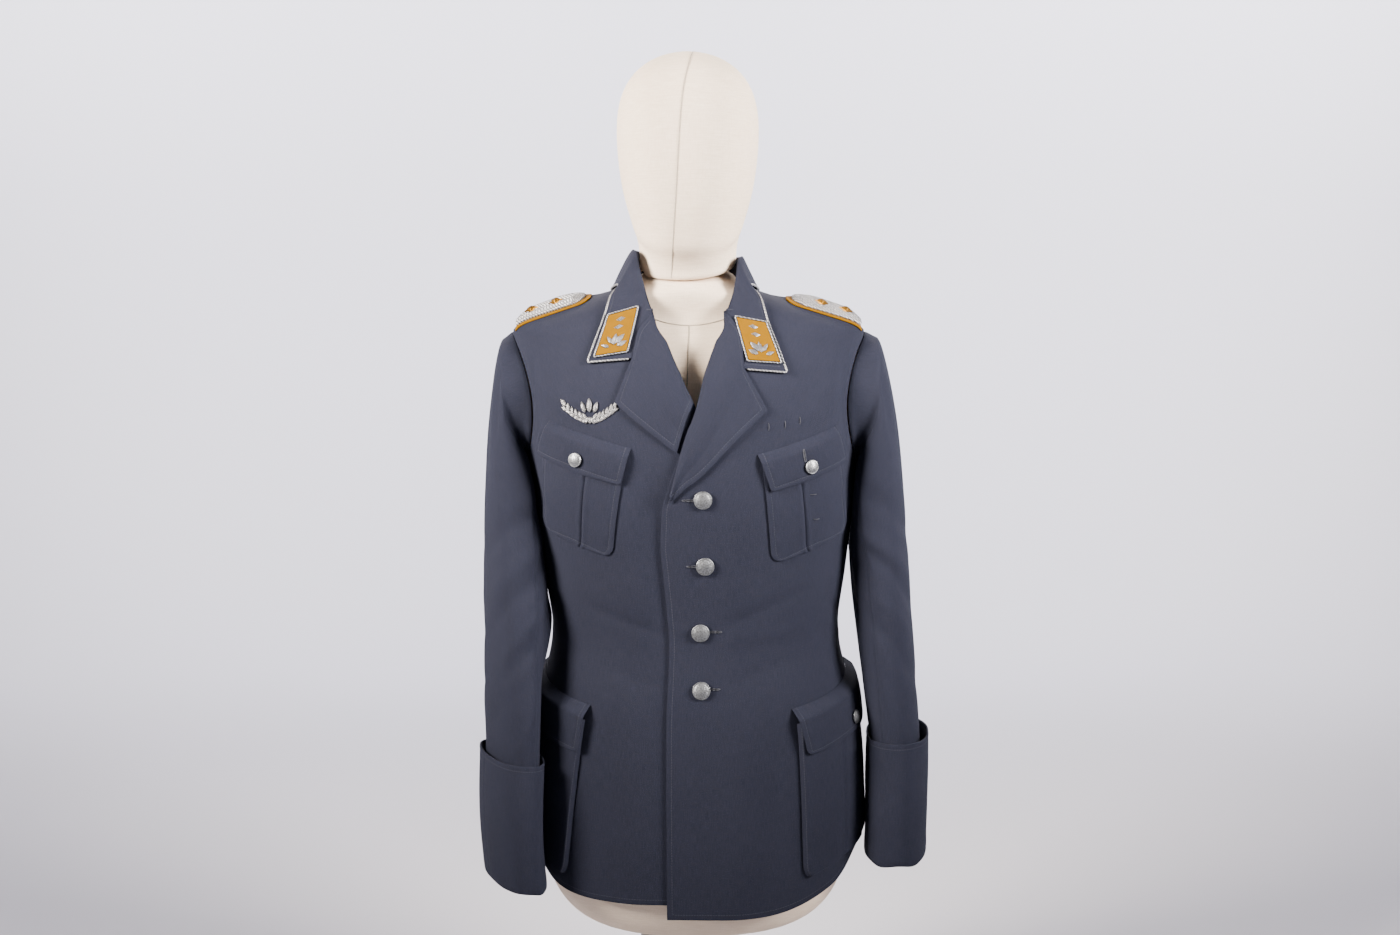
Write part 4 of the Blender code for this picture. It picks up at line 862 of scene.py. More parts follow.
def cuffPiece(side):
    # The turned-back cuff: down its outer face, round the fold at the wrist and up inside a little
    rows = [{"at": index, **row} for index, row in enumerate(cuff[side])]
    top, low, fold = rows[0]["outerZ"], rows[-1]["outerZ"], cuffShape["fold"]

    def place(across, along):
        run = (1 - along) * (top - low + cuffShape["hidden"])
        angle, turn = 360 * across, math.radians(360 * across)
        uneven = noise.noise(Vector((math.cos(turn), math.sin(turn), sides[side] * 2.0)) * 1.4)
        if run < top - low - fold:
            height, inward = top - run, 0.0
        else:
            beyond = run - (top - low - fold)
            bend = min(beyond / fold, math.pi * 0.75)
            height = low + fold - fold * math.sin(min(bend, math.pi / 2))
            inward = fold * (1 - math.cos(bend)) * 0.75
            if beyond > fold * math.pi * 0.5:
                height += (beyond - fold * math.pi * 0.5) * 0.8
        share = (top - height) / (top - low) * (len(rows) - 1)
        row = {**{name: read(rows, name, share) for name in rows[0]}, "outerZ": height, "innerZ": height}
        point = sectionPoint(side, row, angle)
        away = (point - (sectionPoint(side, row, 0) + sectionPoint(side, row, 180)) / 2).normalized()
        point -= away * inward
        point += away * (bell(height, low + 0.010, 0.012) * cuffShape["bulge"]
                         + uneven * cuffShape["uneven"] * ramp(top, low, height))
        point.z += uneven * cuffShape["sway"] * ramp(top, low, height)
        return point

    def more(across, along):
        turn = math.radians(360 * across)
        spot = Vector((math.cos(turn) * 1.6, math.sin(turn) * 1.6, along * 2 + sides[side]))
        return noise.noise(spot) * cuffShape["wave"]

    clothPiece(f"{side}_cuff_cloth", *cuffShape["cells"], place, {
        "stitched": "t", "more": more, "inside": (sides[side] * 0.235, -0.04, 0.30), "closed": True,
        "on": [f"{side}_top_sleeve_cloth"], "wall": cuffShape["wall"], "replaces": [f"{side}_cuff"]})


for side in sides:
    topNodes = [f"{side}_top_sleeve"] + ["right_top_sleeve_forearm"] * (side == "right")
    sleevePiece(side, -splitAngle, splitAngle, f"{side}_top_sleeve_cloth",
                sleeveShape["topColumns"], topNodes)
    sleevePiece(side, splitAngle, 360 - splitAngle, f"{side}_under_sleeve_cloth",
                sleeveShape["underColumns"], [f"{side}_under_sleeve"])
    cuffPiece(side)
print("sleeves and cuffs made")

# Collar from the centre back (0) to its front end (1): the roll, the outer edge and the neckline
collar = table(
    "along rollAngle rollHeight rollRadius leftTurn leftHeight rightTurn rightHeight"
    " baseTurn baseHeight flat",
    (0.00, 180, 0.9750, 0.0670, 180, 0.9290, 180, 0.9290, 180, 0.9405, 0.0),
    (0.22, 135, 0.9765, 0.0650, 138, 0.9280, 138, 0.9280, 135, 0.9405, 0.0),
    (0.42, 90, 0.9790, 0.0625, 92, 0.9378, 92, 0.9378, 90, 0.9405, 0.0),
    (0.56, 62, 0.9755, 0.0645, 60, 0.9362, 60, 0.9362, 58, 0.9370, 0.0),
    (0.68, 48, 0.9570, 0.0730, 37, 0.9240, 39, 0.9250, 40, 0.9310, 0.2),
    (0.80, 38, 0.9330, 0.0800, 26.5, 0.9060, 29.5, 0.9120, 27, 0.9250, 0.95),
    (0.90, 32, 0.9180, 0.0850, 25.6, 0.8770, 28.3, 0.8850, 20, 0.9200, 1.0),
    (1.00, 29, 0.9110, 0.0870, 28.1, 0.8460, 28.6, 0.8560, 12, 0.9110, 1.0),
)
# Distance from the middle and height of the corner where collar and lapel part
notch = {"left": (0.0577, 0.8490), "right": (0.0655, 0.8605)}
neckAxisX = -0.005
collarLevel = wall + 0.0014
collarShape = {"cells": (220, 64), "standShare": 0.34, "innerGap": 0.0030, "tilt": 0.0040, "rise": 0.0016,
               "wave": 0.0009, "wall": 0.0018}


def neckPoint(angle, height, radius):
    return Vector((neckAxisX + math.sin(math.radians(angle)) * radius,
                   -math.cos(math.radians(angle)) * radius, height))


# The roll where it comes down to the lapel, as distances from the middle and heights
rollEnd = table("along left right height", (0.56, 0.0525, 0.0620, 0.9755), (0.68, 0.0503, 0.0568, 0.9560),
                (0.80, 0.0455, 0.0507, 0.9330), (0.90, 0.0406, 0.0460, 0.9200),
                (1.00, 0.0372, 0.0420, 0.9100))
# The outer edge where it comes forward over the shoulder, in the same way
edgeEnd = table("along left leftHeight right rightHeight", (0.56, 0.0646, 0.9362, 0.0820, 0.9362),
                (0.68, 0.0746, 0.9258, 0.0894, 0.9251), (0.80, 0.0827, 0.9020, 0.0953, 0.9080),
                (0.90, 0.0925, 0.8750, 0.1045, 0.8820), (1.00, 0.1027, 0.8454, 0.1131, 0.8562))


def rollSpot(side, along):
    # The roll at a place, and how flat the collar lies there
    sign = sides[side]
    height = read(collar, "rollHeight", along)
    roll = neckPoint(sign * read(collar, "rollAngle", along), height, read(collar, "rollRadius", along))
    roll.z -= sign * collarShape["tilt"] * math.sin(math.radians(read(collar, "rollAngle", along)))
    share = ramp(0.58, 0.74, along)
    if share > 0:
        x, z = sign * read(rollEnd, side, along), read(rollEnd, "height", along)
        low = min(z, 0.938)
        laid = skin(sign * turnAt(x, low), low, collarLevel)
        roll = Vector((mix(roll.x, x, share), mix(roll.y, laid.y, ramp(0.66, 0.84, along)),
                       mix(roll.z, z, share)))
    return roll


def laidAt(side, x, height, out):
    turn = turnAt(x, height)
    return skin(sides[side] * turn, height, out + frontLift(side, turn, height))


def collarPoint(side, along, across):
    # The turned-down part, from the roll (0) to the outer edge (1)
    sign = sides[side]
    edgeTurn, edgeHeight = read(collar, f"{side}Turn", along), read(collar, f"{side}Height", along)
    if along > 0.56:
        edgeHeight = read(edgeEnd, f"{side}Height", along)
        edgeTurn = turnAt(sign * read(edgeEnd, side, along), edgeHeight)
    level = collarLevel + collarShape["rise"] * ramp(0.84, 0.66, along)
    roll, edge = rollSpot(side, along), skin(sign * edgeTurn, edgeHeight, level)
    over = Vector((edge.x, edge.y, roll.z + 0.001)).lerp(roll, 0.74)
    arch = roll * (1 - across) ** 2 + over * 2 * across * (1 - across) + edge * across**2
    flat = min(read(collar, "flat", along), 1.0)
    if flat <= 0.0:
        return arch
    start = min(roll.z, 0.936)
    bend = (1 - abs(across - 0.5) / 0.5) * ramp(0.82, 1.0, along)
    x = mix(roll.x, edge.x, across) + (sign * notch[side][0] - (roll.x + edge.x) / 2) * bend
    height = mix(start, edgeHeight, across) + (notch[side][1] - (start + edgeHeight) / 2) * bend
    laid = laidAt(side, x, height, level)
    laid += (roll - laidAt(side, roll.x, start, level)) * (1 - across) ** 3
    return arch.lerp(laid, flat)


def collarBase(side, along):
    # The neckline seam inside the collar; at the front it lies close under the roll
    sign = sides[side]
    base = skin(sign * read(collar, "baseTurn", along), read(collar, "baseHeight", along))
    centre = Vector((neckAxisX, 0, base.z))
    base -= (base - centre).normalized() * 0.0006
    under = ramp(0.66, 0.84, along)
    if under > 0:
        roll = rollSpot(side, along)
        height = min(roll.z - 0.001, 0.936)
        tucked = skin(sign * turnAt(roll.x + sign * 0.007, height), height, lay)
        base = base.lerp(tucked, under)
    return base


def collarPiece():
    # One strip: the stand up from the neckline, the roll over the top, and the fall outside it
    standShare = collarShape["standShare"]

    def place(across, along):
        side = "left" if across > 0.5 else "right"
        distance = abs(across * 2 - 1)
        down = 1 - along
        if down > standShare:
            return collarPoint(side, distance, (down - standShare) / (1 - standShare))
        up = down / standShare
        start = collarBase(side, distance)
        roll = rollSpot(side, distance)
        away = (roll - Vector((neckAxisX, 0, roll.z))).normalized()
        inner = roll - away * collarShape["innerGap"] * (1 - ramp(0.66, 0.9, distance))
        inner.z -= 0.001
        return start.lerp(inner, up).lerp(roll, up**6)

    def more(across, along):
        wave = noise.noise(Vector((across * 9, along * 2, 4.2))) * collarShape["wave"]
        return wave * ramp(0.80, 0.62, abs(across * 2 - 1))

    def nearRoll(along):
        return abs(1 - along - standShare) < 0.05

    cells = collarShape["cells"]
    clothPiece("collar", *cells, place, {
        "stitched": "blr", "more": more, "inside": (neckAxisX, 0, 0.86), "wall": collarShape["wall"],
        "smooth": (nearRoll, 10), "across": spaced(cells[0], 0.03, 0.12),
        "along": spaced(cells[1], 0.12, 0.20, "l"), "replaces": ["collar_fall", "collar_stand"],
        "on": ["left_front_panel", "right_front_panel", "left_back_panel", "right_back_panel"]})


collarPiece()
print("collar made")

# Lapels: the outer edge from its low end to its tip, and heights along the roll line
lapel = {
    "left": {"edge": table("along turn height", (0, -4.6, 0.7050), (0.3, 1.3, 0.7310),
                           (0.65, 11.4, 0.7720), (1, 22.0, 0.8046)), "roll": (0.7120, 0.9110)},
    "right": {"edge": table("along turn height", (0, 2.9, 0.7590), (0.35, 9.0, 0.7780),
                            (0.7, 15.4, 0.7970), (1, 20.8, 0.8134)), "roll": (0.8120, 0.9110)},
}


# The lapels' roll line; it runs on from the collar's roll
rollLine = table("height left right", (0.7000, -6.0, -6.0), (0.7585, -2.1, -3.6), (0.8075, 1.2, -1.2),
                 (0.8437, 3.2, 1.3), (0.8800, 6.1, 4.6), (0.9050, 10.4, 9.2), (0.9110, 12.3, 11.0))


lapelShape = {"cells": (62, 86), "turnIn": 0.10, "turnBy": 0.30, "deep": 0.0032, "middle": 0.55,
              "soft": 0.0022, "curl": 0.0008, "wave": 0.0011, "wall": 0.0018}


def lapelPiece(side):
    rows = lapel[side]["edge"]
    rollLow, rollHigh = lapel[side]["roll"]
    turnIn, half = lapelShape["turnIn"], lapelShape["middle"]

    def place(across, along):
        rollHeight = mix(rollLow, rollHigh, along)
        edgeTurn = straight(rollLine, side, rollHeight)
        share = max((across - turnIn) / (1 - turnIn), 0.0)
        back = max((turnIn - across) / turnIn, 0.0)
        rollTurn = edgeTurn + 0.3
        turn = mix(rollTurn, read(rows, "turn", along), share)
        height = mix(rollHeight, read(rows, "height", along), share)
        bend = min(share / half, (1 - share) / (1 - half))
        top = ramp(0.7, 1.0, along)
        middleTurn = mix(rollTurn, rows[-1]["turn"], half)
        middleHeight = mix(rollHigh, rows[-1]["height"], half)
        notchTurn = turnAt(sides[side] * notch[side][0], notch[side][1]) - 0.1
        turn += (notchTurn - middleTurn) * bend * top
        height += (notch[side][1] + 0.0008 - middleHeight) * bend * top
        soft = lapelShape["soft"] * math.sin(math.pi * min(1.6 * share, 1.0))
        curl = lapelShape["curl"] * math.sin(math.pi * (1 - min(share / 0.06, 1.0)) / 2)
        level = overlap + frontLift(side, turn, height) + soft - curl - lapelShape["deep"] * back
        return skin(sides[side] * (turn - lapelShape["turnBy"] * back), height, level)

    def more(across, along):
        wave = noise.noise(Vector((across * 2.2, along * 3, sides[side] * 5.1)))
        return wave * lapelShape["wave"] * ramp(0.08, 0.3, across)

    cells = lapelShape["cells"]
    clothPiece(f"{side}_lapel_cloth", *cells, place, {
        "stitched": "rtb", "more": more, "on": [f"{side}_front_panel"], "wall": lapelShape["wall"],
        "across": spaced(cells[0], 0.12, 0.24, "r"), "replaces": [f"{side}_lapel"]})


for side in sides:
    lapelPiece(side)
print("lapels made")

# Pockets and flaps

patchNames = ("name side inTurn inTop outTurn outTop lowInTurn lowIn lowOutTurn lowOut"
              " standIn standOut sag")
pockets = table(
    patchNames,
    ("left_breast_pocket", "left", 20.3, 0.7450, 56.8, 0.7750, 25.1, 0.6350, 67.5, 0.6660,
     0.0, 0.0, 0.001),
    ("right_breast_pocket", "right", 17.9, 0.7520, 54.8, 0.7820, 25.7, 0.6420, 63.0, 0.6700,
     0.0, 0.0, 0.001),
    ("left_skirt_pocket", "left", 34.0, 0.4520, 96.0, 0.4850, 34.7, 0.2740, 94.0, 0.3240,
     0.006, 0.0045, 0.001),
    ("right_skirt_pocket", "right", 38.5, 0.4550, 96.0, 0.4850, 44.5, 0.2740, 94.0, 0.3240,
     0.006, 0.0025, 0.001),
)
flaps = table(
    patchNames,
    ("left_breast_flap", "left", 18.6, 0.7570, 54.6, 0.7870, 23.3, 0.7160, 61.4, 0.7475,
     0.0036, 0.0036, 0.002),
    ("right_breast_flap", "right", 16.2, 0.7640, 52.4, 0.7940, 19.9, 0.7240, 60.7, 0.7560,
     0.0036, 0.0036, 0.002),
    ("left_skirt_flap", "left", 32.6, 0.4690, 97.5, 0.5020, 36.5, 0.4170, 98.5, 0.4530,
     0.0098, 0.0083, 0.002),
    ("right_skirt_flap", "right", 37.0, 0.4723, 97.5, 0.5020, 39.0, 0.4195, 98.5, 0.4530,
     0.0098, 0.0063, 0.002),
)
patch = {"wall": 0.0014, "breastCorner": (0.10, 0.12), "skirtCorner": (0.06, 0.10),
         "flapCorner": (0.03, 0.12), "flapRise": 0.27, "pleatHalf": 0.13,
         "slitAt": 0.367, "pocketCells": 82, "flapCells": (78, 44), "pouch": 0.0014, "slit": -0.0012,
         "lip": 0.0007, "side": 0.020, "pleat": 0.0015, "shadow": -0.0009, "slack": 0.0016,
         "pocketWave": 0.0010, "flapWave": 0.0009, "curl": 0.0022, "bow": 0.0006, "dimple": -0.0010}


def patchPlace(row, across, down):
    topTurn, lowTurn = (mix(row[a], row[b], across) for a, b in
                        (("inTurn", "outTurn"), ("lowInTurn", "lowOutTurn")))
    top = mix(row["inTop"], row["outTop"], across)
    low = mix(row["lowIn"], row["lowOut"], across) - row["sag"] * 4 * across * (1 - across)
    return mix(topTurn, lowTurn, down), mix(top, low, down)


def patchPoint(row, across, down, out):
    turn, height = patchPlace(row, across, down)
    lift = frontLift(row["side"], turn, height)
    return skin(sides[row["side"]] * turn, height, lift + lay + patch["wall"] + out)


def roundedAcross(across, down, cornerAcross, cornerDown):
    into = max(down - (1 - cornerDown), 0.0) / cornerDown
    inset = cornerAcross * (1 - math.sqrt(max(1 - into**2, 0.0)))
    return mix(inset, 1 - inset, across)


def pocketPiece(row):
    skirt = "skirt" in row["name"]
    corner = patch["skirtCorner" if skirt else "breastCorner"]

    def place(across, along):
        down = 1 - along
        wide = roundedAcross(across, down, *corner)
        if not skirt:
            fromSlit = abs(across - patch["slitAt"])
            pouch = patch["pouch"] * math.sin(math.pi * across) * math.sin(math.pi * min(down * 1.1, 1))
            groove = patch["slit"] * bell(fromSlit, 0.0, 0.010)
            lip = patch["lip"] * bell(fromSlit, 0.035, 0.022)
            return patchPoint(row, wide, down, pouch + groove + lip)
        wallShare = ramp(0.0, patch["side"], min(across, 1 - across, along))
        stand = mix(row["standIn"], row["standOut"], across)
        fromPleat = abs(across - 0.5) - patch["pleatHalf"]
        pleat = patch["pleat"] * ramp(0.012, -0.012, fromPleat)
        shadow = patch["shadow"] * bell(fromPleat, 0.012, 0.010)
        slack = patch["slack"] * math.sin(math.pi * across) * math.sin(math.pi * min(down, 0.9) / 0.9)
        return patchPoint(row, wide, down, (stand + pleat + shadow + slack) * wallShare)

    def more(across, along):
        wave = noise.noise(Vector((across * 3.2, along * 3, len(row["name"]) * 1.3 + row["inTurn"])))
        edge = min(across, 1 - across, along) / 0.08
        return wave * patch["pocketWave"] * min(edge, 1.0)

    cells = patch["pocketCells"]
    clothPiece(row["name"] + "_cloth", cells, cells, place, {
        "stitched": "lrb", "more": more, "wall": patch["wall"], "on": [f"{row['side']}_front_panel"],
        "softEdge": 0.0004, "across": spaced(cells, 0.06, 0.18), "along": spaced(cells, 0.08, 0.20, "l"),
        "replaces": [row["name"]]})


def flapPoint(row, across, down, out=0.0):
    stand = mix(row["standIn"], row["standOut"], across) * ramp(0.0, patch["flapRise"], down)
    return patchPoint(row, across, down, stand + out)


def flapPiece(row):
    breast = "breast" in row["name"]

    def place(across, along):
        down = 1 - along
        wide = roundedAcross(across, down, *patch["flapCorner"])
        curl = noise.noise(Vector((across * 2.6, 0.0, row["inTop"] * 9))) * patch["curl"]
        return flapPoint(row, wide, down, curl * down + patch["bow"] * math.sin(math.pi * down))

    def more(across, along):
        wave = noise.noise(Vector((across * 3.0, along * 1.6, row["lowInTurn"])))
        dimple = patch["dimple"] * bell(across, 0.5, 0.10) * bell(along, 0.32, 0.22)
        return wave * patch["flapWave"] + (dimple if breast else 0.6 * dimple)

    columns, rows = patch["flapCells"]
    clothPiece(row["name"] + "_cloth", columns, rows, place, {
        "stitched": "lrb", "seams": "t", "more": more, "wall": patch["wall"], "softEdge": 0.0004,
        "on": [row["name"].replace("flap", "pocket") + "_cloth"], "replaces": [row["name"]],
        "across": spaced(columns, 0.06, 0.18), "along": spaced(rows, 0.2, 0.28, "l")})


for row in pockets:
    pocketPiece(row)
for row in flaps:
    flapPiece(row)
print("pockets and flaps made")

# Collar cord, collar tabs and their cords

cordShape = {"radius": 0.00125, "pitch": 0.0062, "tabRadius": 0.0009, "tabPitch": 0.0048,
             "stop": 23}
# Corners as distances from the middle and heights: upper inner and outer, lower inner and outer
tabCorners = {
    "left": ((0.0474, 0.9059), (0.0822, 0.8987), (0.0607, 0.8565), (0.0981, 0.8541)),
    "right": ((0.0590, 0.9164), (0.0930, 0.9064), (0.0704, 0.8662), (0.1074, 0.8605)),
}


def collarCord():
    # Along the free edge, and a little way up each front end
    left, right, outer = (edgeCord("collar", key, cordShape["radius"] * 0.55) for key in "lrb")
    line = left[cordShape["stop"]:0:-1] + outer[1:-1] + right[1:cordShape["stop"] + 1]
    piece = tube("collar_cord", resample(line[::2], 0.0009), cordShape["radius"], silverCord,
                 "silver_cord", cordShape["pitch"])
    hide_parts("collar_piping")


def tabSpot(side, across, down, out):
    x, z = (mix(mix(a, b, across), mix(c, d, across), down) for a, b, c, d in zip(*tabCorners[side]))
    return laidAt(side, sides[side] * x, z, collarLevel + 0.0013 + out)


def tabPieces(side):
    def place(across, along):
        return tabSpot(side, mix(0.045, 0.955, across), mix(0.97, 0.03, along), 0.0010)

    clothPiece(f"{side}_tab_felt", 24, 40, place, {
        "material": felt, "slot": "yellow_felt", "wall": 0.0010, "on": ["collar"], "held": "laid",
        "softEdge": 0.0003, "replaces": [f"{side}_tab"]})
    corners = [(0, 0), (1, 0), (1, 1), (0, 1)]
    line = []
    for start, end in zip(corners, corners[1:] + corners[:1]):
        for step in range(24):
            share = step / 24
            across, down = (mix(a, b, share) for a, b in zip(start, end))
            inset = 0.06 * max(0.0, 1 - min(share, 1 - share) / 0.06) ** 2
            across += inset * (0.5 - across) * 0.5
            down += inset * (0.5 - down) * 0.3
            line.append(tabSpot(side, across, down, 0.0007))
    line = resample(line + [line[0]], 0.0007)[:-1]
    piece = tube(f"{side}_tab_twist", line, cordShape["tabRadius"], silverCord, "silver_cord",
                 cordShape["tabPitch"], closed=True)
    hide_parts(f"{side}_tab_cord")


def leafMesh(bm, place, x, y, angle, length, width, height):
    # A small embroidered leaf at x, y on a surface: a domed, ribbed oval with a pointed end,
    # turned by angle from straight up
    across, upward, out = surfaceAxes(place, x, y)
    turn = math.radians(angle)
    along = upward * math.cos(turn) + across * math.sin(turn)
    aside, centre = along.cross(out), place(x, y)
    made = bmesh.ops.create_grid(bm, x_segments=8, y_segments=10, size=0.5)
    for vert in made["verts"]:
        u, v = vert.co.x * 2, vert.co.y + 0.5
        half = width * math.sin(math.pi * v ** 0.8) ** 0.85 if 0 < v < 1 else 0.0
        dome = height * (1 - u * u) ** 0.5 * math.sin(math.pi * min(max(v, 0.02), 0.98)) ** 0.5
        ribs = 0.00022 * math.cos(math.pi * 7 * (v + 0.25 * abs(u))) * (1 - u * u)
        crease = 0.00030 * bell(u, 0.0, 0.2)
        vert.co = centre + along * (v - 0.5) * length + aside * u * half + out * (dome + ribs - crease)


def surfaceAxes(place, x, y, step=0.0008):
    # Directions on a surface given by place(x, y) in metres; the last points forwards, out of it
    across = (place(x + step, y) - place(x - step, y)).normalized()
    upward = (place(x, y + step) - place(x, y - step)).normalized()
    out = across.cross(upward).normalized()
    return across, upward, -out if out.y > 0 else out


def embroidered(name, bm):
    # Closes worked leaves into one thin piece of silver wire
    bmesh.ops.recalc_face_normals(bm, faces=bm.faces)
    piece = addPiece(name, bm, bullion, "silver_cord", 40)
    thick = piece.modifiers.new("thickness", "SOLIDIFY")
    thick.thickness = 0.0004
    thick.offset = -1
    return piece


def tabDevice(side):
    # Two plain lozenges over a small sprig of five leaves, in silver wire
    bm = bmesh.new()

    def place(x, y):
        return tabSpot(side, 0.5 + x / 0.028, 0.5 - y / 0.046, 0.0011)

    for y in (0.0140, 0.0055):
        across, upward, out = surfaceAxes(place, 0.0, y)
        made = bmesh.ops.create_cone(bm, cap_ends=True, segments=4, radius1=0.0040, radius2=0.0012,
                                     depth=0.0018)
        for vert in made["verts"]:
            wide, tall, proud = vert.co
            vert.co = (place(0.0, y) + across * wide * 1.5 + upward * tall * 0.85
                       + out * (proud + 0.0006))
    for angle, length, x, y in ((0, 0.014, 0.0, -0.0080), (38, 0.013, 0.0042, -0.0080),
                                (-38, 0.013, -0.0042, -0.0080), (66, 0.011, 0.0070, -0.0135),
                                (-66, 0.011, -0.0070, -0.0135)):
        leafMesh(bm, place, x, y, angle, length, 0.0027, 0.0012)
    embroidered(f"{side}_tab_device", bm)


collarCord()
for side in sides:
    tabPieces(side)
    tabDevice(side)
print("collar cord and tabs made")

# Shoulder boards

board = {"centreX": -0.004, "half": 0.0225, "wall": 0.0014, "roundEnd": 0.16, "roundness": 0.93,
         "cords": (0.0026, 0.0071, 0.0117, 0.0163), "cordWide": 0.0047, "cordHigh": 0.0030,
         "outer": 0.985, "inner": 0.045, "length": 0.0855, "pitch": 0.0105}
boardEnds = table("at x y", (0, 0.1115, -0.014), (1, 0.1965, -0.005))


def shoulderPoint(x, y, out=0.0):
    def top(atX, atY):
        low, high = 0.80, 0.940
        for _ in range(26):
            height = (low + high) / 2
            across = abs(atX - read(bodyRows, "lean", height)) / bodyHalfWidth(height)
            deep = abs(atY) / read(bodyRows, "front" if atY < 0 else "back", height)
            if across ** (2 / roundness) + deep ** (2 / roundness) < 1:
                low = height
            else:
                high = height
        return low + shoulderRise(Vector((atX, atY, low)))

    step = 0.002
    slopeX = (top(x + step, y) - top(x - step, y)) / (2 * step)
    slopeY = (top(x, y + step) - top(x, y - step)) / (2 * step)
    return Vector((x, y, top(x, y))) + Vector((-slopeX, -slopeY, 1)).normalized() * out


def boardPoint(side, along, aside, out):
    # aside is metres from the board's middle line, towards the back
    x = straight(boardEnds, "x", along)
    y = straight(boardEnds, "y", along) + aside
    return shoulderPoint(board["centreX"] + sides[side] * x, y, out)


def boardWidth(along):
    into = max(board["roundEnd"] - along, 0.0) / board["roundEnd"]
    return math.sqrt(1 - (board["roundness"] * into) ** 2)


def boardPieces(side):
    def place(across, along):
        return boardPoint(side, along, (across * 2 - 1) * board["half"] * boardWidth(along),
                          lay + board["wall"])

    clothPiece(f"{side}_board_felt", 24, 60, place, {
        "material": felt, "slot": "yellow_felt", "wall": board["wall"], "held": "laid",
        "on": [f"{side}_front_panel", f"{side}_back_panel"], "softEdge": 0.0004,
        "replaces": [f"{side}_board_underlay"]})
    level = lay + board["wall"] + board["cordHigh"] * 0.46
    bm = bmesh.new()
    for reach in board["cords"]:
        # Each cord runs in along one side, round the nose and back out
        bend = reach * 0.98 / board["length"]
        turnsAt = board["inner"] + (board["half"] - reach) / board["length"] * 0.72 + bend
        spots = [(mix(board["outer"], turnsAt, k / 26), -reach) for k in range(27)]
        for k in range(1, 18):
            angle = math.pi * k / 18
            spots.append((turnsAt - math.sin(angle) * bend, -reach * math.cos(angle)))
        spots += [(mix(turnsAt, board["outer"], k / 26), reach) for k in range(27)]
        line = [boardPoint(side, along, aside, level) for along, aside in spots]
        strand = tube("strand", resample(line, 0.0011), board["cordWide"] / 2 / 1.02, silverCord,
                      "silver_cord", board["pitch"], lobes=3)
        mesh = strand.data
        bm.from_mesh(mesh)
        bpy.data.objects.remove(strand)
        bpy.data.meshes.remove(mesh)
    piece = addPiece(f"{side}_board_braid", bm, silverCord, "silver_cord", 70)
    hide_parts(f"{side}_board_cords")


pip = {"places": (0.47, 0.80), "half": 0.0058, "skirt": 0.0022, "above": 0.0002}


def pipPieces(side):
    # A plain four-sided stud, stepped and slightly domed, turned with a corner towards the neck
    for number, along in enumerate(pip["places"], 1):
        bm = bmesh.new()
        made = bmesh.ops.create_grid(bm, x_segments=24, y_segments=24, size=0.5)
        for vert in made["verts"]:
            x, y = vert.co.x * 2, vert.co.y * 2
            reach = max(abs(x), abs(y))
            step = 0.0012 * ramp(1.0, 0.90, reach) + 0.0010 * ramp(0.70, 0.60, reach)
            ribs = 0.00022 * math.cos(16 * math.pi * reach) * ramp(0.98, 0.90, reach)
            dome = 0.0009 * (1 - min(x * x + y * y, 1.0))
            vert.co = Vector((x * pip["half"], y * pip["half"], step + ribs + dome))
        ring = [edge for edge in bm.edges if edge.is_boundary]
        for item in bmesh.ops.extrude_edge_only(bm, edges=ring)["geom"]:
            if isinstance(item, bmesh.types.BMVert):
                item.co.z -= pip["skirt"]
        bmesh.ops.recalc_face_normals(bm, faces=bm.faces)
        foot = boardPoint(side, along, 0.0, 0)
        normal = (boardPoint(side, along, 0.0, 1) - foot).normalized()
        inward = boardPoint(side, along - 0.05, 0.0, 0) - foot
        inward = (inward - normal * inward.dot(normal)).normalized()
        aside = normal.cross(inward)
        point = boardPoint(side, along, 0.0, lay + board["wall"] + board["cordHigh"] + pip["above"])
        corner = math.sqrt(0.5)
        for vert in bm.verts:
            x, y, z = vert.co
            vert.co = (point + inward * (x + y) * corner + aside * (y - x) * corner + normal * z)
        piece = addPiece(f"{side}_pip_{number}", bm, giltMetal, "gold_metal", 35)
        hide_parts(f"{side}_board_pip_{number}")


for side in sides:
    boardPieces(side)
    pipPieces(side)
print("shoulder boards made")

# The embroidered spray on the wearer's right breast: plain leaves on a curved stem

spray = {"turn": -30.5, "height": 0.8050, "halfWide": 0.028, "stemLow": -0.0115, "stemRise": 0.0135,
         "stemRadius": 0.0007, "stemPitch": 0.004}


def sprayPlace(x, y):
    height = spray["height"] + y
    centre = bodyPoint(spray["turn"], spray["height"])
    share = abs(centre.x + x - read(bodyRows, "lean", height)) / bodyHalfWidth(spray["height"])
    turn = -math.degrees(math.asin(min(share, 1.0) ** (1 / roundness)))
    return skin(turn, height, lay + 0.0002)


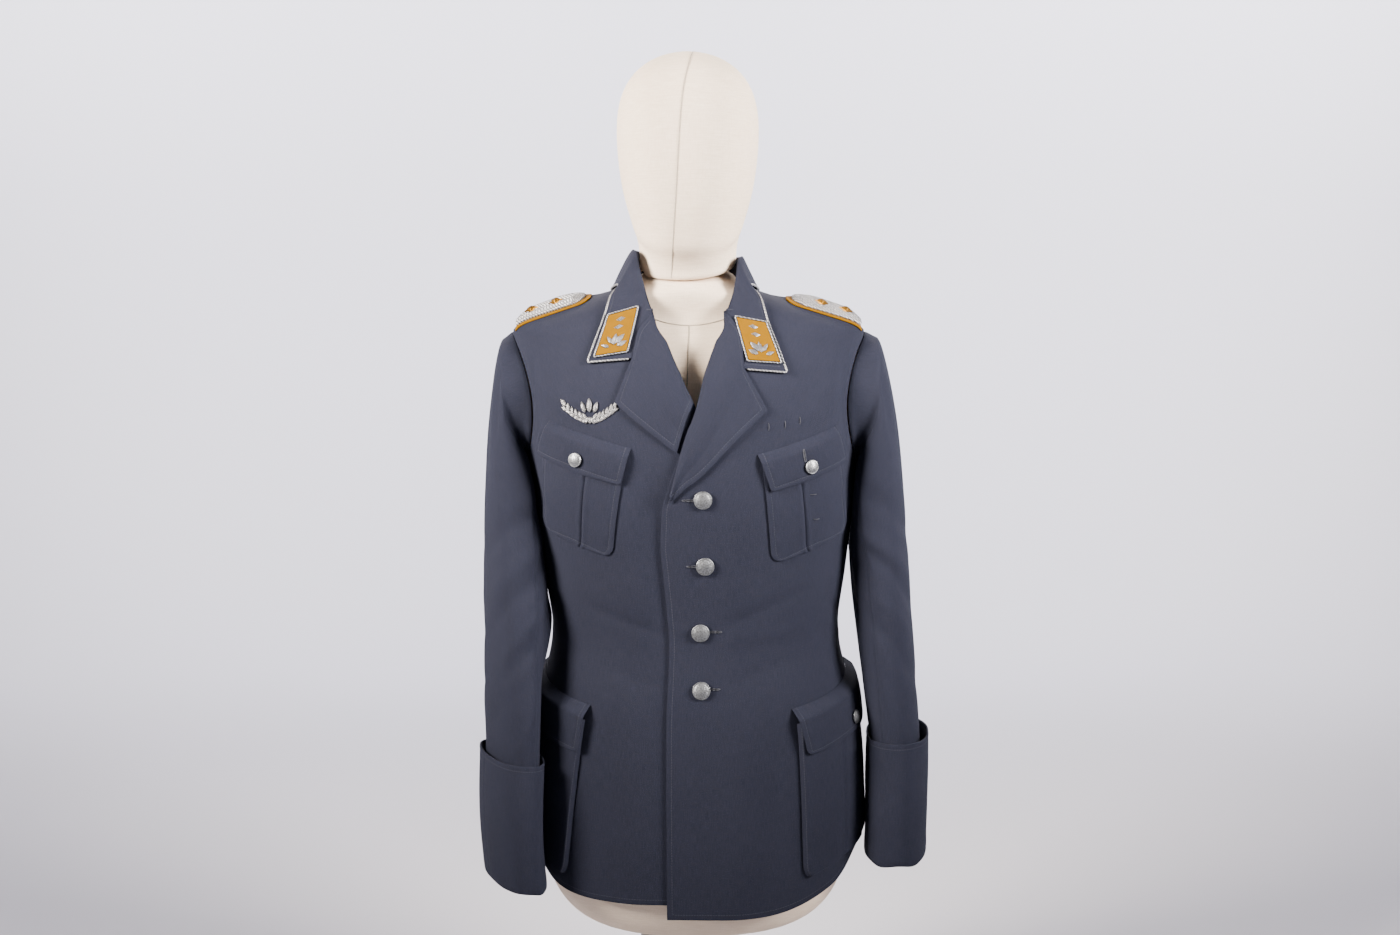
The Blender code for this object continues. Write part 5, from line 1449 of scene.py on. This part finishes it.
def sprayPiece():
    bm = bmesh.new()

    def leaf(x, y, angle, length, width, height=0.0013):
        leafMesh(bm, sprayPlace, x, y, 90 - angle, length, width, height)

    for sign in (-1, 1):
        for index in range(6):
            share = index / 5
            x = sign * mix(0.004, 0.027, share)
            y = mix(-0.0100, 0.0030, share**1.4)
            slope = math.degrees(math.atan2(0.5 + share, 1.0))
            for aside, size in ((34, 0.95), (-30, 0.85)):
                angle = slope + aside if sign > 0 else 180 - slope - aside
                lift = 0.0026 if aside > 0 else -0.0024
                leaf(x + sign * 0.002, y + lift, angle, 0.0098 * size, 0.0021)
        leaf(sign * 0.0295, 0.0068, 52 if sign > 0 else 128, 0.0100, 0.0021)
        leaf(sign * 0.0070, 0.0030, 70 if sign > 0 else 110, 0.0120, 0.0026, 0.0018)
    leaf(0.0, 0.0050, 90, 0.0150, 0.0032, 0.0022)
    for x in (-0.0032, 0.0032, 0.0):
        leaf(x, -0.0115, 90 + x * 9000, 0.0080, 0.0019)
    piece = embroidered("breast_leaves", bm)
    stem = []
    for step in range(-7, 8):
        x = step / 7 * spray["halfWide"]
        y = spray["stemLow"] + spray["stemRise"] * (abs(x) / 0.029) ** 1.5
        stem.append(sprayPlace(x, y))
    tube("breast_stem", resample(stem, 0.0008), spray["stemRadius"], silverCord, "silver_cord",
         spray["stemPitch"])
    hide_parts("breast_spray")


sprayPiece()
print("spray made")

# Buttons, buttonholes and thread loops

frontButtons = table("name turn height", ("front_button_1", 2.3, 0.7080),
                     ("front_button_2", 2.6, 0.6340), ("front_button_3", 1.2, 0.5580),
                     ("front_button_4", 1.2, 0.4930))
flapButton = {"breast": (0.465, 0.68), "skirt": (0.51, 0.74)}
button = {"front": 0.0101, "pocket": 0.0080, "above": 0.0009, "pebbles": 900, "pebbleHigh": 0.00016}


def spun(profile, steps):
    # A mesh turned from a profile of radii and heights
    bm = bmesh.new()
    first = [bm.verts.new((radius, 0, height)) for radius, height in profile]
    edges = [bm.edges.new(pair) for pair in zip(first, first[1:])]
    bmesh.ops.spin(bm, geom=first + edges, cent=(0, 0, 0), axis=(0, 0, 1), angle=2 * math.pi,
                   steps=steps, use_merge=True)
    bmesh.ops.remove_doubles(bm, verts=bm.verts, dist=1e-6)
    bmesh.ops.recalc_face_normals(bm, faces=bm.faces)
    return bm


def buttonMesh(name, radius, point, normal):
    # A domed button with a raised rim; its face is pebbled and plain
    profile = []
    for k in range(22):
        share = k / 21
        dome = 0.0046 - 0.0024 * share**2.2
        if share > 0.86:
            dome = 0.0022 + 0.0007 * math.sin(math.pi * (share - 0.86) / 0.14)
        profile.append((share * radius * 0.97, dome))
    profile += [(radius, 0.0019), (radius * 0.985, 0.0010), (radius * 0.80, 0.0003), (0.0, 0.0003)]
    bm = spun(profile, 56)
    turned = Vector((0, 0, 1)).rotation_difference(normal)
    for vert in bm.verts:
        if vert.co.z > 0.0012 and vert.co.xy.length / radius < 0.84:
            spot = Vector((vert.co.x * button["pebbles"], vert.co.y * button["pebbles"], radius * 500))
            vert.co.z += noise.noise(spot) * button["pebbleHigh"]
        vert.co = point + turned @ vert.co
    piece = addPiece(name + "_domed", bm, buttonMetal, "button_metal", 40)
    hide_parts(name)


stitchwork = {"gimp": 0.00055, "gimpPitch": 0.0022, "halfHigh": 0.0010, "slitWide": 0.0011,
              "loop": 0.00045, "loopPitch": 0.0026}


def buttonhole(name, place, direction, length):
    # A worked buttonhole: a ring of gimp round a thin near-black sheet, painted shade in its slit, laid on
    # the surface
    def spot(reach, off):
        return place(reach, off) if direction == "across" else place(off, reach)

    out = surfaceAxes(place, 0.0, 0.0)[2]
    ring = []
    for k in range(48):
        angle = 2 * math.pi * k / 48
        reach = signedPower(math.cos(angle), 0.6) * length / 2
        ring.append(spot(reach, signedPower(math.sin(angle), 0.8) * stitchwork["halfHigh"]) + out * 0.0003)
    tube(name, ring, stitchwork["gimp"], buttonholeThread, "tunic_cloth", stitchwork["gimpPitch"],
         closed=True)
    # The slit is only a near-black sheet: painted shade where the cut opens
    bm = bmesh.new()
    made = bmesh.ops.create_grid(bm, x_segments=12, y_segments=2, size=0.5)
    for vert in made["verts"]:
        vert.co = spot(vert.co.x * length * 0.92, vert.co.y * stitchwork["slitWide"]) + out * 0.00012
    bm.normal_update()
    if sum(face.normal.dot(out) for face in bm.faces) < 0:
        bmesh.ops.reverse_faces(bm, faces=bm.faces)
    addPiece(name + "_slit", bm, slitShade, "tunic_cloth")


def threadLoop(name, place, direction, length):
    # A long stitch of twisted thread, caught down at both ends and standing off a little between
    out = surfaceAxes(place, 0.0, 0.0)[2]
    line = []
    for k in range(13):
        share = k / 12 - 0.5
        x, y = (share * length, 0.0) if direction == "across" else (0.0, share * length)
        line.append(place(x, y) + out * (0.0014 * math.cos(math.pi * share) - 0.0004))
    tube(name, resample(line, 0.0006), stitchwork["loop"], loopThread, "tunic_cloth",
         stitchwork["loopPitch"])


def flapSurface(row, across, down):
    return lambda x, y: flapPoint(row, across + x / 0.1 + y / 0.6, down - y / 0.043, 0.0006)


def frontSurface(turn, height, out=0.0003):
    # The left front's outer face near a place on it, in metres across and up
    def place(x, y):
        atTurn, atHeight = turn + x / 0.0024, height + y
        return skin(atTurn, atHeight, frontLift("left", atTurn, atHeight) + out)

    return place


for row in frontButtons:
    lift = frontLift("left", row["turn"], row["height"]) + button["above"]
    point = skin(row["turn"], row["height"], lift)
    away = (skin(row["turn"], row["height"], 1) - point).normalized()
    buttonMesh(row["name"], button["front"], point, away)
for row in flaps:
    kind = "breast" if "breast" in row["name"] else "skirt"
    point = flapPoint(row, *flapButton[kind], 0.0006)
    away = (flapPoint(row, *flapButton[kind], 1) - point).normalized()
    buttonMesh(f"{row['side']}_{kind}_button", button["pocket"], point, away)
for name, turn, height in (("first", 0.9, 0.7075), ("second", 1.5, 0.6335), ("third", 4.7, 0.5590),
                           ("fourth", 3.6, 0.4945)):
    buttonhole(f"{name}_buttonhole", frontSurface(turn, height), "across", 0.0135)
leftFlap = next(row for row in flaps if row["name"] == "left_breast_flap")
buttonhole("flap_buttonhole", flapSurface(leftFlap, 0.43, 0.36), "up", 0.013)
for number, (turn, height) in enumerate(((22.6, 0.787), (28.8, 0.789), (35.0, 0.793)), 1):
    threadLoop(f"upright_loop_{number}", frontSurface(turn, height), "up", 0.0078)
for number, (turn, height) in enumerate(((41.4, 0.711), (43.9, 0.683)), 1):
    threadLoop(f"level_loop_{number}", frontSurface(turn, height, 0.0036), "across", 0.0075)
print("buttons made")

# The dress form and its stand

form = {"levels": 2, "seamRadius": 0.0007, "chin": 0.974, "chestDeep": 0.021, "under": 0.0036,
        "proud": 0.0014}


def mergedCopy(nodeName, name):
    # A refined copy of a CAD node's surface: equal points merged, triangles joined to quads
    source = bpy.data.objects[nodeName]
    bm = bmesh.new()
    bm.from_mesh(source.data)
    bm.transform(source.matrix_world)
    bmesh.ops.remove_doubles(bm, verts=bm.verts, dist=1e-5)
    bmesh.ops.join_triangles(bm, faces=bm.faces, angle_face_threshold=math.radians(40),
                             angle_shape_threshold=math.radians(60), topology_influence=1.2)
    bmesh.ops.recalc_face_normals(bm, faces=bm.faces)
    piece = addPiece(name, bm, linen, "form_linen", 180)
    smooth = piece.modifiers.new("smooth", "SUBSURF")
    smooth.levels = form["levels"]
    smooth.render_levels = form["levels"]
    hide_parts(nodeName)
    return piece


def reshape(piece, shift):
    # Moves each point of the refined surface by shift(point)
    mesh = bpy.data.meshes.new_from_object(piece.evaluated_get(bpy.context.evaluated_depsgraph_get()))
    for vert in mesh.vertices:
        vert.co += shift(vert.co)
    piece.modifiers.clear()
    piece.data = mesh
    mesh.shade_smooth()


def chestShift(point):
    # The chest shown between the lapels lies a little deeper than them
    if point.y >= 0:
        return Vector((0, 0, 0))
    deep = form["chestDeep"] * ramp(0.938, 0.900, point.z) * ramp(0.095, 0.060, abs(point.x + 0.005))
    return Vector((0, deep * ramp(0.70, 0.78, point.z), 0))


def chinShift(point):
    # The chin stands a little proud of the neck below it
    away = Vector((point.x + 0.005, point.y, 0))
    ahead = -point.y / max(away.length, 1e-6)
    below = form["chin"] + 0.028 * (1 - ahead) - point.z
    inward = form["under"] * ramp(-0.005, 0.004, below) * ramp(0.032, 0.012, below)
    return away.normalized() * (form["proud"] * bell(below, -0.010, 0.008) - inward) * ramp(-0.1, 0.5, ahead)


torso = mergedCopy("form_torso", "form_linen")
head = mergedCopy("form_head", "head_linen")
bpy.context.view_layer.update()
reshape(torso, chestShift)
reshape(head, chinShift)
bpy.context.view_layer.update()


def seamOn(piece, name, points, direction):
    # A raised seam laid on the form by casting rays at its finished surface
    tree = BVHTree.FromObject(piece, bpy.context.evaluated_depsgraph_get())
    aim = Vector((0, direction, 0))
    line = []
    for x, z in points:
        place, normal, *_ = tree.ray_cast(Vector((x, 0, z)) - aim * 0.5, aim)
        if place:
            line.append(place + normal * 0.0001)
    tube(name, resample(line, 0.0025), form["seamRadius"], linenSeam, "form_linen")


headLine = table("height x", (0.945, -0.0235), (0.985, -0.0213), (1.040, -0.0175), (1.150, -0.0098),
                 (1.206, 0.0015))
headHeights = [0.950 + k * 0.256 / 64 for k in range(65)]
seamOn(head, "head_seam_front", [(read(headLine, "x", z), z) for z in headHeights], 1)
seamOn(head, "head_seam_back", [(-0.004, 0.975 + k * 0.228 / 60) for k in range(61)], -1)
seamOn(torso, "torso_seam_front",
       [(-0.0032 - k * 0.003 / 60, 0.8966 - k * 0.09 / 60) for k in range(61)], 1)
seamOn(torso, "yoke_seam_front",
       [(x / 1000, 0.8966 + 0.0050 * ((x + 3.2) / 33) ** 2) for x in range(-48, 42, 2)], 1)
print("dress form made")


def turnedPiece(name, profile, centreX, nodeName, steps):
    bm = spun(profile, steps)
    for vert in bm.verts:
        vert.co.x += centreX
    piece = addPiece(name, bm, steel, "stand_metal", 35)
    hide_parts(nodeName)


def arc(radius, centreR, centreZ, start, end, cells=6):
    return [(centreR + radius * math.cos(math.radians(mix(start, end, k / cells))),
             centreZ + radius * math.sin(math.radians(mix(start, end, k / cells))))
            for k in range(cells + 1)]


baseLine = [(0, 0.012), (0.08, 0.012), *arc(0.003, 0.152, 0.009, 90, 0),
            *arc(0.0015, 0.1535, 0.0015, 0, -90, 4), (0, 0)]
turnedPiece("base_plate", baseLine, 0.0, "stand_base", 160)
poleLine = [(0, 0.1827), (0.010, 0.1827), (0.010, 0.034), (0.0112, 0.0290), (0.0142, 0.0270),
            *arc(0.0025, 0.0195, 0.0195, 80, 0), (0.022, 0.0125), (0, 0.0125)]
turnedPiece("pole_tube", poleLine, -0.052, "stand_pole", 64)
print("stand made")

# Floor, backdrop, lights and camera

studio = {"paper": "#e4e3ea", "air": "#e8e8f0", "airLight": 0.19, "width": 12, "front": -4.0,
          "bendAt": 2.15, "bend": 1.25, "top": 4.6, "below": 0.0002}
paper, paperTree = newMaterial("backdrop_paper")
feed(paperTree, paperTree.nodes["Principled BSDF"], {"Base Color": studio["paper"], "Roughness": 0.95})
sweep = [(studio["front"], 0.0), (-0.5, 0.0), (studio["bendAt"], 0.0)]
for angle in range(10, 91, 10):
    turn = math.radians(angle)
    sweep.append((studio["bendAt"] + studio["bend"] * math.sin(turn),
                  studio["bend"] - studio["bend"] * math.cos(turn)))
sweep.append((studio["bendAt"] + studio["bend"], studio["top"]))
bm = bmesh.new()
made = bmesh.ops.create_grid(bm, x_segments=1, y_segments=len(sweep) - 1, size=0.5)
for vert in made["verts"]:
    y, z = sweep[round((vert.co.y + 0.5) * (len(sweep) - 1))]
    vert.co = Vector((vert.co.x * studio["width"], y, z - studio["below"]))
bm.normal_update()
mesh = bpy.data.meshes.new("backdrop")
bm.to_mesh(mesh)
bm.free()
mesh.materials.append(paper)
mesh.shade_smooth()
backdrop = bpy.data.objects.new("backdrop", mesh)
bpy.context.scene.collection.objects.link(backdrop)


def softLight(name, place, aim, size, spread, power, colour):
    data = bpy.data.lights.new(name, "AREA")
    data.shape = "RECTANGLE"
    data.size, data.size_y = size
    data.spread = math.radians(spread)
    data.energy = power
    data.color = hexColour(colour)[:3]
    made = bpy.data.objects.new(name, data)
    made.location = place
    made.rotation_euler = (Vector(aim) - Vector(place)).to_track_quat("-Z", "Y").to_euler()
    bpy.context.scene.collection.objects.link(made)


for lightRow in (
        ("key", (-1.68, -1.02, 1.55), (0.0, 0, 1.02), (0.8, 0.8), 54, 26.5, "#fff4e8"),
        ("fill", (1.68, -0.98, 1.55), (0.0, 0, 1.02), (0.8, 0.8), 54, 23, "#fff6ee"),
        ("wall_left", (-2.2, 1.3, 2.7), (-0.55, 3.4, 2.35), (2.6, 2.2), 130, 158, "#fbf9ff"),
        ("wall_right", (2.2, 1.3, 2.7), (0.55, 3.4, 2.35), (2.6, 2.2), 130, 178, "#fbf9ff"),
        ("back", (0.0, 2.1, 2.5), (0.0, 0, 0.75), (0.8, 0.6), 80, 16, "#fff6ee")):
    softLight(*lightRow)
world = bpy.data.worlds.new("studio")
world.use_nodes = True
feed(world.node_tree, world.node_tree.nodes["Background"],
     {"Color": studio["air"], "Strength": studio["airLight"]})
bpy.context.scene.world = world

cameraData = bpy.data.cameras.new("camera")
cameraData.lens = 44.23
cameraData.sensor_width = 36
camera = bpy.data.objects.new("camera", cameraData)
camera.location = (0.009, -2.0, 0.94)
camera.rotation_euler = (math.radians(84), 0, 0)
bpy.context.scene.collection.objects.link(camera)
bpy.context.scene.camera = camera
print("studio made")

bpy.context.view_layer.update()
